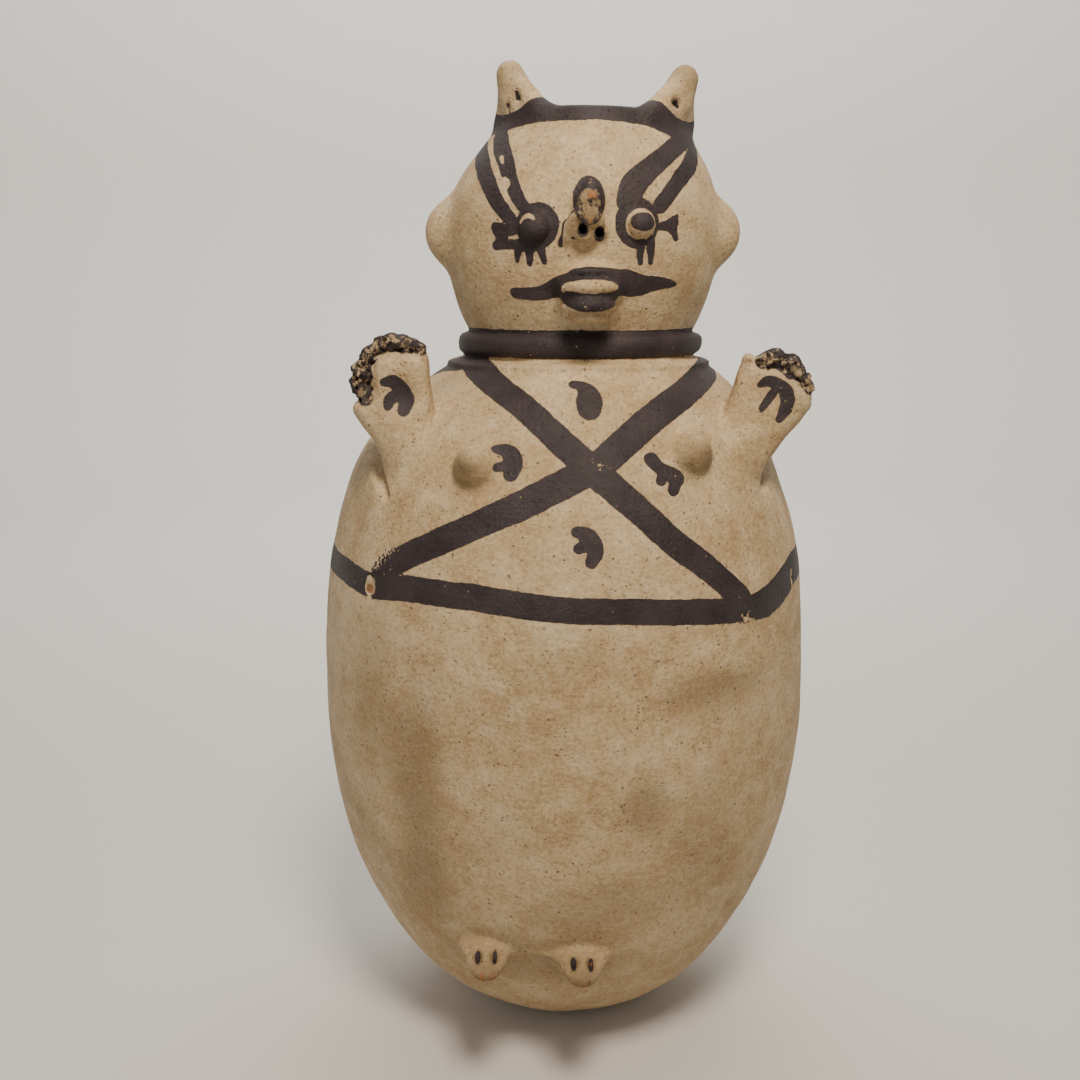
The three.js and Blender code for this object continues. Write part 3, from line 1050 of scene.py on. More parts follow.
@dataclass
class Nose:
    """The stump of a ridged nose: its front broke away and left a rough oval scar above two open nostrils."""

    # X, Z and radius at each station
    ridge: tuple[Point, ...] = ((9.4, 393.0, 3.6), (8.5, 386.5, 5.6), (7.6, 379.6, 6.0), (7.0, 374.6, 6.0))
    left_wing: tuple[Point, ...] = ((3.6, 381.0, 2.6), (1.2, 376.5, 3.2), (-0.2, 372.6, 2.8))
    right_wing: tuple[Point, ...] = ((11.0, 379.5, 3.2), (12.9, 375.0, 3.4))
    nostrils: tuple[Point, Point] = ((6.0, 375.6), (12.8, 374.2))
    nostril_radii: tuple[float, float] = (1.9, 2.7)
    # how far the stations of each chain lie behind the skin
    lifts: tuple[Point, ...] = ((2.4, 0.7, 0.2, 1.4), (1.6, 1.2, 1.2), (1.6, 1.2))
    scar: tuple[float, float] = (8.6, 386.5)
    scar_radii: Point = (4.3, 4.6, 8.6)
    # how far the painted shade of a nostril reaches past its hole
    rim: float = 0.3

    def model(self, clay: ClayBlock, vessel: Vessel) -> None:
        """Adds the ridge and its wings, breaks its front off and bores the nostrils.

        Args:
            clay: The block of clay.
            vessel: The vessel; not used.
        """
        for chain, lift in zip((self.ridge, self.left_wing, self.right_wing), self.lifts):
            points = [tuple(clay.front(x, z) + [0, deep, 0]) for (x, z, _), deep in zip(chain, lift)]
            clay.add(limb(points, [radius for _, _, radius in chain], (1.0, 1.15, 1.0)), 2.0)
        scar = clay.front(*self.scar)
        clay.cut(egg(scar + [0, -3.2, 0.4], self.scar_radii), 0.6)
        clay.roughen(scar + [0, 0, -1], 12.0, 0.6, Ripple((5.0, 2.5), 16, 31))
        wide, tall = self.nostril_radii
        for x, z in self.nostrils:
            mouth = clay.front(x, z)
            bore = [tuple(mouth + [0, -3, -0.6]), tuple(mouth + [0, 5, 1])]
            clay.cut(limb(bore, (wide, 1.5), (1.0, 1.0, tall / wide)), 0.5)

    def paint(self, work: SlipWork) -> None:
        """Lays dark slip round the scar, bares the clay in it, and paints shade into the nostrils and under
        the nose.

        Args:
            work: What is laid on the clay.
        """
        front = work.clay.front(8.6, 387)
        work.mark(Slip.DARK, Disc(facing(front + [-0.1, 0, 0.4]), (6.6, 10.0), 9))
        work.mark(Slip.CREAM, Disc(facing(front + [0.0, 0, -1.4]), (3.1, 5.9), 9))
        work.mark(Slip.DARK, Stroke([(10.9, 387.6), (9.8, 383.2), (8.4, 387.2)], [2, 1.5, 1.6]))
        work.mark(
            Slip.DARK, Stroke([(1.8, 382.8), (-1.3, 379.6), (-2.4, 374.8), (-3, 370.2)], [2, 1.5, 1.7, 2.2]))
        work.mark(Slip.DARK, Stroke([(2.2, 372.8), (3.2, 372.2)], [1.8, 1.2]))
        wide, tall = self.nostril_radii
        # painted shade: dark slip inside each bored nostril and just round it
        for x, z in self.nostrils:
            work.mark(Slip.DARK, Disc(facing(work.clay.front(x, z)), (wide + self.rim, tall + self.rim)))
        work.patch(Touch.BARE, front + [0.9, 0, 2.6], (3.0, 9, 2.2), 0.75)
        foot = work.clay.front(9.4, 377.8)
        work.patch(Touch.BARE, foot + [-0.6, 0, 2.0], (3.6, 6, 2.2), 0.5)
        work.patch(Touch.BARE, foot + [-0.4, 0, -5.0], (2.0, 6, 1.6), 0.4)
        # painted shade: stain that darkens the nose's lower side, below the scar
        work.patch(Touch.STAIN, foot + [-3.6, 0, -1.6], (8, 9, 6.0), 0.8)
        work.patch(Touch.STAIN, foot + [0, 0, 0.6], (6.5, 9, 4.0), 0.7)
        work.patch(Touch.WORN, front + [0.5, 0, -2], (7.5, 10, 13), 0.9)
        work.patch(Touch.RAGGED, front + [0.3, 0, -1], (5.0, 9, 8), 0.2)
        work.patch(Touch.STAIN, front + [0, 0, -1], (8, 12, 11), 0.75)


@dataclass
class Mouth:
    """Two thick lips thrust forward like a beak, one over the other, in a painted moustache."""

    degrees: float = 2.0
    upper_height: float = 353.2
    lower_height: float = 347.2
    reach: float = 15.5
    upper_half: float = 10.4
    lower_half: float = 8.4
    dome_height: float = 354.6
    throat_height: float = 350.0
    fold_height: float = 359.4
    chin_height: float = 341.2
    paint_middle: float = 9.4

    def model(self, clay: ClayBlock, vessel: Vessel) -> None:
        """Adds the dome of the upper lip, its rolled edge, the lower lip and the throat behind both.

        Args:
            clay: The block of clay.
            vessel: The vessel.
        """
        root = vessel.spot(self.degrees, self.upper_height, True)
        middle = root.origin[0] - 1.0
        face = root.origin[1]

        def roll(height: float, half: float, reach: float, radius: float, bow: float) -> Form:
            """Makes a roll of clay that is bowed round the front of the lips.

            Args:
                height: Its height.
                half: Half its width.
                reach: How far it stands out.
                radius: Its radius.
                bow: How far its ends lie behind its middle.

            Returns:
                The roll.
            """
            xs = np.linspace(-half, half, 7)
            points = [
                (middle + x, face - reach + bow * (x / half) ** 2, height - 0.6 * (x / half) ** 2) for x in xs
            ]
            sizes = [radius * (1 - 0.25 * abs(x / half) ** 3) for x in xs]
            return limb(points, sizes)

        clay.add(egg((middle + 0.6, face + 2, self.dome_height), (15.0, 13.0, 8.8)), 3.5)
        clay.add(egg((middle - 0.2, face, self.throat_height), (11.6, self.reach - 1.5, 7.8)), 2.5)
        clay.add(roll(self.fold_height, 8.4, 9.6, 1.7, 3.5), 1.2)
        clay.add(roll(self.upper_height, self.upper_half, self.reach - 2.7, 3.1, 6.5), 0.9)
        clay.add(roll(self.lower_height - 1.4, self.lower_half, self.reach - 2.6, 3.7, 5.5), 0.8)
        clay.add(roll(self.chin_height, 7.0, self.reach - 4.4, 2.3, 4.5), 0.8)
        gap = (self.upper_height + self.lower_height) / 2 - 0.1
        clay.cut(roll(gap, 11.0, self.reach + 0.9, 1.25, 8.0), 0.6)
        clay.cut(roll(357.0, 9.0, 14.2, 1.1, 5.5), 0.6)
        clay.cut(roll(342.9, 7.2, 14.9, 0.8, 5.0), 0.6)

    def paint(self, work: SlipWork) -> None:
        """Paints the moustache over the upper lip and the lower lip, leaves their rolled edges cream and
        paints shade along their parting.

        Args:
            work: What is laid on the clay.
        """
        wings = Stroke(
            [(-21.6, 350.9), (-15.5, 350.3), (-10, 350.9), (-5, 352.6), (0, 354)],
            [4.8, 5.8, 6.2, 9, 12.5],
        )
        dome = Stroke(
            [(0, 354.4), (6, 356.2), (13, 356.4), (21, 355.2), (26, 354.6)], [12, 13, 13, 12.5, 10.5])
        right = Stroke(
            [(26, 354.2), (31, 353.9), (37, 354.5), (43, 354.6), (47.6, 353.9)], [10.5, 8.6, 6, 4, 0.6])
        middle = self.paint_middle
        lip = work.clay.front(middle, self.upper_height)[1]
        work.mark(Slip.DARK, wings, dome, right)
        work.mark(Slip.DARK, Disc(facing((middle, lip, 349.6)), (12.4, 6.4), 14))
        work.mark(Slip.CREAM, Disc(facing((9.2, lip, self.upper_height + 0.1)), (11.4, 2.75), 9))
        work.mark(Slip.CREAM, Disc(facing((middle, lip, 333.6)), (24, 9.0), 30))
        work.mark(Slip.CREAM, Stroke([(-2.4, 351.4), (-1, 352.8)], [1.8, 1.2]))
        # painted shade: a thin dark line along the parting of the lips
        work.mark(
            Slip.DARK, Stroke([(-1, 350.6), (4, 349.9), (10, 349.8), (15, 349.9), (20, 350.6)], [1.4] * 5))
        work.patch(Touch.WORN, (middle, lip, 345.5), (10, 8, 3.5), 0.45)
        work.patch(Touch.STAIN, (middle, lip, 342.5), (9, 9, 3), 0.4)


@dataclass
class Ear:
    """A rounded lug for an ear."""

    side: Side
    degrees: float = 82.0
    height: float = 376.8
    radii: tuple[float, float, float] = (9.4, 13.6, 11.6)
    sunk: float = 2.6

    def model(self, clay: ClayBlock, vessel: Vessel) -> None:
        """Adds the lug and smooths it into the cheek."""
        spot = vessel.spot(self.side.value * self.degrees, self.height, True)
        clay.add(egg(spot.at(0, 0, -self.sunk), self.radii, spot.axes), 8.0)


@dataclass
class Horn:
    """A horn on the rim: a three-cornered tab that stands up from the lip and leans out to a blunt tip."""

    side: Side
    splay: float = 60.0  # round the rim from the front, in degrees
    foot_spread: float = 25.0  # from its middle to each foot, in degrees
    height: float = 20.6
    lean: float = 2.8
    tip_radius: float = 5.6
    thickness: float = 4.6
    cream_middle: float = 441.5  # the height of the middle of its cream
    grime: float = 0.35
    # each pit's two ends, X and Z, and its radius
    pit_places: tuple[tuple[Point, Point, float], ...] = (
        ((-20.4, 431.0), (-21.2, 434.0), 1.3),
        ((-25.0, 429.4), (-24.4, 426.6), 1.0),
    )

    def __post_init__(self) -> None:
        """Starts with no pits."""
        self.pits: list[Stroke] = []

    def corners(self, vessel: Vessel) -> list[Point]:
        """Finds the two feet on the rim and the tip.

        Args:
            vessel: The vessel.

        Returns:
            The two feet and the tip.
        """
        reach = vessel.rim_radius - vessel.wall / 2
        level = vessel.jar_height
        axis = float(vessel.shift(level))
        places = []
        for turn, rise in ((self.splay - self.foot_spread, -2.5), (self.splay + self.foot_spread, -3.5)):
            angle = math.radians(turn)
            x = axis + self.side.value * reach * math.sin(angle)
            places.append((x, -vessel.depth_share * reach * math.cos(angle), level + rise))
        angle = math.radians(self.splay)
        tip_x = axis + self.side.value * (reach * math.sin(angle) + self.lean)
        tip_y = -vessel.depth_share * reach * math.cos(angle) + 0.07 * self.height
        return [*places, (tip_x, tip_y, level + self.height - self.tip_radius)]

    def model(self, clay: ClayBlock, vessel: Vessel) -> None:
        """Adds the tab and its rounded tip, with the pits in its front.

        Args:
            clay: The block of clay.
            vessel: The vessel.
        """
        corners = self.corners(vessel)
        clay.add(tab(corners, self.thickness), 5.0)
        tip, feet = np.array(corners[2]), (np.array(corners[0]) + np.array(corners[1])) / 2
        clay.add(
            limb([tuple(tip), tuple(0.45 * tip + 0.55 * feet)], (self.tip_radius, 7.6), (1.0, 0.85, 1.0)), 3.0
        )
        for start, end, radius in self.pit_places:
            a, b = clay.front(*start), clay.front(*end)
            clay.cut(limb([tuple(a), tuple(b)], (radius, 0.7 * radius), (1.0, 1.6, 1.0)), 0.3)
            # each pit keeps a stroke for the painted shade that is laid in it
            self.pits.append(Stroke([start, end], [1.5 * radius, radius]))

    def paint(self, work: SlipWork, vessel: Vessel) -> None:
        """Keeps the horn cream above the painted rim, paints shade into its pits and grimes its tip.

        Args:
            work: What is laid on the clay.
            vessel: The vessel.
        """
        corners = self.corners(vessel)
        axis = np.array([float(vessel.shift(vessel.jar_height)), 0.0, 0.0])
        out = unit((np.mean(corners, 0) - axis) * [1, 1, 0])
        up = np.array([0, 0, 1.0])
        centre = Spot(np.array([*corners[2][:2], self.cream_middle]), np.cross(up, out), up, out)
        work.mark(Slip.CREAM, Disc(centre, (24.0, 15.8), 16))
        # painted shade: dark slip in the pits
        work.mark(Slip.DARK, *self.pits)
        work.patch(Touch.STAIN, corners[2], (9, 9, 8), self.grime)


@dataclass
class PawMark:
    """A painted paw: a thick curl of the brush with one or two short claws under it.

    Attributes:
        curl: The curl's points as X, Z and width.
        claws: Each claw's points as X, Z and width.
    """

    curl: Sequence[Point]
    claws: Sequence[Sequence[Point]] = ()

    def paint(self, work: SlipWork) -> None:
        """Paints the curl and its claws."""
        for pull in (self.curl, *self.claws):
            work.mark(Slip.DARK, Stroke([(x, z) for x, z, _ in pull], [width for _, _, width in pull]))


@dataclass
class Arm:
    """An arm: a flipper that stands up from the shoulder, palm forward, its fingers worn to rough stumps.

    Attributes:
        side: The viewer's left or right.
        depth: The middle of the hand along Y.
        outline: The outline of hand and wrist as seen from the front, X and Z.
        root: The middle of the forearm where it leaves the shoulder, and its radius, at each station.
        crease: Where the arm parts from the body's flank, X and Z.
        stumps: The middle and radius of each finger's stump, X, Z and radius.
        bare_thumb: The same for a stump that was left cream.
        palm_mark: The paw painted on the palm.
        spill: How far the dark slip runs past a stump.
    """

    side: Side
    depth: float
    outline: Sequence[Point]
    root: Sequence[Point]
    crease: Sequence[Point]
    stumps: Sequence[Point]
    bare_thumb: Point
    palm_mark: PawMark
    hand_thickness: float = 15.0
    edge_rounding: float = 6.5
    crease_radii: Point = (2.2, 3.4, 3.2, 2.0)
    spill: float = 0.6

    def model(self, clay: ClayBlock, vessel: Vessel) -> None:
        """Adds the arm, smooths it into the shoulder and sets the broken fingers round the palm's edge.

        Args:
            clay: The block of clay.
            vessel: The vessel; not used.
        """
        half = self.hand_thickness / 2
        clay.add(
            limb([point[:3] for point in self.root], [point[3] for point in self.root], (1.0, 0.85, 1.0)), 5.5
        )
        clay.add(slab(self.outline, self.depth, half, self.edge_rounding), 2.5)
        seam = [tuple(clay.front(x, z) + [0, 0.6, 0]) for x, z in self.crease]
        clay.cut(limb(seam, self.crease_radii), 2.0)
        palm = self.palm_mark.curl[2]
        hollow = (palm[0] - 2 * self.side.value, self.depth - half - 11.0, palm[1] - 3)
        clay.cut(egg(hollow, (15.0, 12.4, 14.0)), 2.0)
        clay.roughen((palm[0], self.depth - half, palm[1]), 26, 0.35, Ripple((16, 8), 8, 55))
        for x, z, radius in (*self.stumps, self.bare_thumb):
            clay.add(egg((x, self.depth + 0.2, z), (radius, 0.9 * half, radius)), 1.0)
        for index, (x, z, radius) in enumerate(self.stumps):
            front = self.depth - 0.6 * half
            clay.roughen((x, front, z), 1.9 * radius, 0.95, Ripple((5.2, 2.5), 16, 60 + index))
            notch = Ripple((9.0, 5.0), 3, 80 + index).at(x, front, z)
            clay.cut(egg((x + notch, front - 3.2, z - notch), (1.5, 2.2, 1.2)), 0.6)

    def paint(self, work: SlipWork) -> None:
        """Paints the fingers dark and a mark on the palm.

        Args:
            work: What is laid on the clay.
        """
        for x, z, radius in self.stumps:
            work.mark(
                Slip.DARK, Disc(facing((x, self.depth, z)), (radius + self.spill, radius + self.spill), 14))
            work.patch(Touch.WORN, (x, self.depth - 5, z), (4.4, 9, 4.4), 0.8)
            work.patch(Touch.STAIN, (x, self.depth - 5, z), (4.4, 9, 4.4), 0.2)
        x, z, _ = self.bare_thumb
        work.patch(Touch.BARE, (x, self.depth - 6, z), (2.6, 6, 2.6), 0.5)
        self.palm_mark.paint(work)


@dataclass
class Breast:
    """A low cone of clay for a breast."""

    degrees: float
    height: float = 282.0
    radius: float = 9.6
    reach: float = 7.8
    tip_radii: Point = (4.2, 4.2, 3.0)

    def model(self, clay: ClayBlock, vessel: Vessel) -> None:
        """Adds the cone and smooths it into the chest.

        Args:
            clay: The block of clay.
            vessel: The vessel.
        """
        spot = vessel.spot(self.degrees, self.height)
        clay.add(egg(spot.at(0, 0, -1.5), (self.radius, self.radius, self.reach + 1.0), spot.axes), 2.4)
        clay.add(egg(spot.at(0.2, 0.4, self.reach - 2.0), self.tip_radii, spot.axes), 2.5)

    def paint(self, work: SlipWork, vessel: Vessel) -> None:
        """Darkens the cone's lower side as painted shade, and stains a small spot on it.

        Args:
            work: What is laid on the clay.
            vessel: The vessel.
        """
        spot = vessel.spot(self.degrees, self.height)
        # painted shade: a broad dark patch a little below the cone's middle, where shade falls
        work.patch(Touch.STAIN, spot.at(-1, -4, 3), (9.8, 8.5, 9.5), 0.78)
        work.patch(Touch.STAIN, spot.at(5, -4.5, 1), (2.2, 2.2, 2.2), 0.9)


@dataclass
class Foot:
    """A foot: a tapering ledge that sticks straight out in front, with two slots that part its toes.

    Attributes:
        degrees: Its angle round the jar.
        webs: How far the clay is drawn out to the viewer's left and right of it.
        stations: How far out each is over the reach, its half width over the width, its drop over the reach.
        web_start: How far from the middle a web leaves the foot.
        slot: The radii of the hollow that makes a slot: to the side, up the skin and inward.
        slot_side: How far a slot is from the middle, over the width.
        slot_ends: How high its upper and lower end lie, over the thickness.
    """

    degrees: float
    webs: tuple[float, float]
    height: float = 66.6
    width: float = 24.0
    reach: float = 19.0
    thickness: float = 12.4
    stations: tuple[Point, ...] = (
        (-0.45, 0.54, 0.0), (0.05, 0.47, 0.0), (0.36, 0.4, 0.02), (0.58, 0.33, 0.06), (0.72, 0.27, 0.1),
    )
    web_start: float = 8.0
    slot: tuple[float, float, float] = (1.5, 4.5, 2.3)
    slot_side: float = 0.155
    slot_ends: tuple[float, float] = (0.42, 0.12)

    def __post_init__(self) -> None:
        """Starts with no slots."""
        self.slots: list[Spot] = []

    def model(self, clay: ClayBlock, vessel: Vessel) -> None:
        """Adds the ledge with its webs and cuts the slots.

        Args:
            clay: The block of clay.
            vessel: The vessel.
        """
        root = vessel.skin_point(self.degrees, self.height)
        steps = [(out * self.reach, drop * self.reach) for out, _, drop in self.stations]
        points = [(root[0], root[1] - out, root[2] - drop) for out, drop in steps]
        halves = [half * self.width for _, half, _ in self.stations]
        clay.add(limb(points, halves, (1.0, 1.0, self.thickness / self.width)), 3.5)
        for hand, outward in zip((-1, 1), self.webs):
            start = (root[0] + hand * self.web_start, root[1] - 2.0, root[2] + 1.5)
            end_x = root[0] + hand * (self.web_start + outward)
            end = (end_x, root[1] + 1.6 + 0.12 * outward, root[2] + 0.8)
            clay.add(limb([start, end], (3.2, 1.2), (1.0, 1.0, 0.75)), 2.0)
        side = np.array([1.0, 0, 0])
        for hand in (-1, 1):
            x = root[0] + hand * self.slot_side * self.width
            upper, lower = (clay.front(x, root[2] + share * self.thickness) for share in self.slot_ends)
            up = unit(upper - lower)
            self.slots.append(Spot((upper + lower) / 2, side, up, np.cross(side, up)))
        for spot in self.slots:
            clay.cut(egg(spot.origin, self.slot, spot.axes), 0.4)

    def paint(self, work: SlipWork, vessel: Vessel) -> None:
        """Bares the toes' tips and paints shade into the slots.

        Args:
            work: What is laid on the clay.
            vessel: The vessel.
        """
        root = vessel.skin_point(self.degrees, self.height)
        tip = (root[0], root[1] - 0.9 * self.reach, root[2] - 3)
        work.patch(Touch.BARE, tip, (8.0, 7.0, 4.6), 0.56)
        work.patch(Touch.STAIN, tip, (9, 10, 8), 0.7)
        # painted shade: dark slip, bared clay and stain laid in each slot's hollow
        for spot in self.slots:
            work.mark(Slip.DARK, Disc(spot, (0.76 * self.slot[0], 0.84 * self.slot[1]), 6))
            work.patch(Touch.BARE, spot.origin, (2.0, 3.4, 3.0), 0.42)
            work.patch(Touch.STAIN, spot.origin, (2.6, 4.2, 3.4), 0.9)


@dataclass
class Straps:
    """The two painted straps that cross on the chest and run down to the belt."""

    def paint(self, work: SlipWork) -> None:
        """Paints both straps and the tail at the shoulder.

        Args:
            work: What is laid on the clay.
        """
        first = [
            (-44, 326), (-38.2, 319), (-28.3, 311.2), (-19.2, 305.4), (-9.3, 297.6), (1.6, 288.2),
            (12.8, 278.8), (22.8, 270.5), (32.9, 261.6), (43.2, 252.2), (53.9, 243.7), (65.2, 233.8),
            (73.3, 226.2)]
        widths = [13, 12.6, 11.8, 11.6, 11.6, 12, 12.2, 12, 11.8, 11.6, 11.4, 11.2, 11]
        second = [
            (66, 10, 318), (61.7, 316), (48.4, 308.6), (36.5, 301.4), (23.3, 291.6), (12.9, 283.6),
            (1.9, 278), (-9.3, 272.6), (-19.4, 267.6), (-31.5, 262.2), (-43.7, 256.2), (-58.5, 248.6),
            (-74, 239.6), (-80, 234)]
        breadths = [9, 12.2, 12.6, 12.6, 12.4, 12.2, 12.2, 12.4, 12.2, 11.6, 11.4, 11.4, 11.6, 9]
        tail = Stroke(
            [(-57, -4, 312.5), (-50.5, -12, 317.2), (-44, -22, 320), (-38, -28, 321)], [9, 12.5, 14, 12])
        work.mark(Slip.DARK, Stroke(first, widths), Stroke(second, breadths), tail)


@dataclass
class Wear:
    """What age left on the jar: dents of the paddle, the chip at the belt, rubbed places and stains, some
    laid as painted shade.
    """

    chip: tuple[float, float] = (-83.4, 228.9)
    press_depth: float = 24.0
    press_fall: float = 1.6  # how steeply a dent fades at its rim

    def model(self, clay: ClayBlock) -> None:
        """Presses the dents in and breaks the chip out.

        Args:
            clay: The block of clay.
        """
        dents = [
            ((0.6, 209), (30, 16), 0.9), ((-68, 150), (11, 34), 1.3), ((-64, 96), (10, 22), 1),
            ((62, 187), (26, 8), 1.1), ((-92, 254), (7, 20), 0.8), ((20, 150), (22, 12), 0.5),
            ((36, 118), (16, 12), 0.5), ((-30, 170), (18, 14), 0.5)]
        ridges = [((82, 196), (16, 6), -0.8), ((-84, 262), (6, 16), -0.6)]
        for (x, z), (wide, tall), depth in dents + ridges:
            self._press(clay, clay.front(x, z), (wide, self.press_depth, tall), depth)
        chip = clay.front(*self.chip)
        clay.cut(egg(chip, (2.6, 2.2, 5.4)), 0.5)
        clay.roughen(chip, 6.5, 0.25, Ripple((4.5, 2.4), 10, 71))
        pits = [
            (23.6, 199.8, 0.8), (-14.6, 186.5, 0.9), (40, 169.6, 0.9), (75.1, 146.3, 0.8), (11.7, 116.4, 1.1),
            (-59.6, 297.6, 0.9), (74.8, 218.8, 1.1), (101.5, 226, 1), (24.6, 281.2, 0.7), (27.2, 278, 0.7)]
        for x, z, radius in pits:
            clay.cut(egg(clay.front(x, z), (radius, radius, 1.15 * radius)), 0.4)

    def _press(self, clay: ClayBlock, centre: Vec, reach: Point, depth: float) -> None:
        """Presses a soft dent of a depth into the outer skin, or raises it where the depth is below zero.

        Args:
            clay: The block of clay.
            centre: Its middle.
            reach: Its reach along X, Y and Z.
            depth: Its depth, in mm.
        """
        size = np.asarray(reach)
        slices, (x, y, z) = clay.window(centre - 1.8 * size, centre + 1.8 * size, 0)
        across = ((x - centre[0]) / size[0]) ** 2 + ((y - centre[1]) / size[1]) ** 2
        gap = across + ((z - centre[2]) / size[2]) ** 2
        clay.depth[slices] += depth * np.exp(-self.press_fall * gap)

    def paint(self, work: SlipWork, vessel: Vessel) -> None:
        """Lays out the stains, partly painted shade, the bared clay and the rubbed paint.

        Args:
            work: What is laid on the clay.
            vessel: The vessel.
        """
        front = work.clay.front
        # brown stains of age; those in the paddle dents, on the left flank and low on the belly also darken
        # them as painted shade
        stains = [
            ((-64, 152), (15, 40), 0.5), ((-62, 98), (15, 26), 0.42), ((62, 188), (30, 12), 0.4),
            ((32.2, 142), (11, 14), 0.55), ((-83, 180), (12, 40), 0.3), ((20, 95), (40, 18), 0.3),
            ((-18, 60), (46, 16), 0.45), ((-52, 312), (9, 7), 0.22), ((50, 350), (10, 9), 0.2),
            ((60, 120), (22, 34), 0.25), ((8, 205), (34, 9), 0.2), ((-26, 128), (20, 18), 0.12)]
        for (x, z), (wide, tall), strength in stains:
            work.patch(Touch.STAIN, front(x, z), (wide, 30, tall), strength)
        chip = vessel.spot(vessel.angle(front(*self.chip)[None])[0], self.chip[1])
        work.mark(Slip.CREAM, Disc(chip, (2.3, 4.3)))
        work.patch(Touch.BARE, chip.at(0.2, -1.2, 0), (2.2, 4, 3.4), 0.75)
        scratches = [
            ((73, 219.4), (75.4, 216.6), (1.5, 1)), ((76.6, 219.8), (75.4, 217), (1.3, 1.2)),
            ((75.2, 217.4), (79, 216.2), (1.6, 0.8)), ((101.2, 229), (101.8, 223.6), (1.6, 2.4))]
        work.mark(Slip.CREAM, *(Stroke([start, end], widths) for start, end, widths in scratches))
        work.patch(Touch.RAGGED, front(-79.0, 242.0), (10, 12, 8.0), 0.85)
        work.patch(Touch.RAGGED, front(74.0, 215.5), (5, 12, 2.0), 0.25)
        for x, z, wide, tall in (
            (-76.0, 236.0, 9, 6), (-62.0, 237.0, 5, 3), (74.0, 222.0, 9, 6), (12.0, 282.0, 12, 6)
        ):
            work.patch(Touch.WORN, front(x, z), (wide, 9, tall), 0.42)


def add(
    tree: bpy.types.NodeTree, kind: str, links: dict[object, object] | None = None, **settings: object
) -> bpy.types.Node:
    """Adds a node with its settings and links.

    Args:
        tree: The node tree.
        kind: The node's type without its leading ShaderNode.
        links: What goes into each input, by name or number: a node's first output, a socket or a value.
        settings: The node's own properties.

    Returns:
        The node.
    """
    made = tree.nodes.new("ShaderNode" + kind)
    for name, value in settings.items():
        setattr(made, name, value)
    for name, value in (links or {}).items():
        if isinstance(value, bpy.types.Node):
            value = value.outputs[0]
        if isinstance(value, bpy.types.NodeSocket):
            tree.links.new(value, made.inputs[name])
        else:
            made.inputs[name].default_value = value
    return made


def per_metre(size: float) -> float:
    """Gives the scale of a pattern whose grain is a size in millimetres."""
    return 1 / (size * MM)


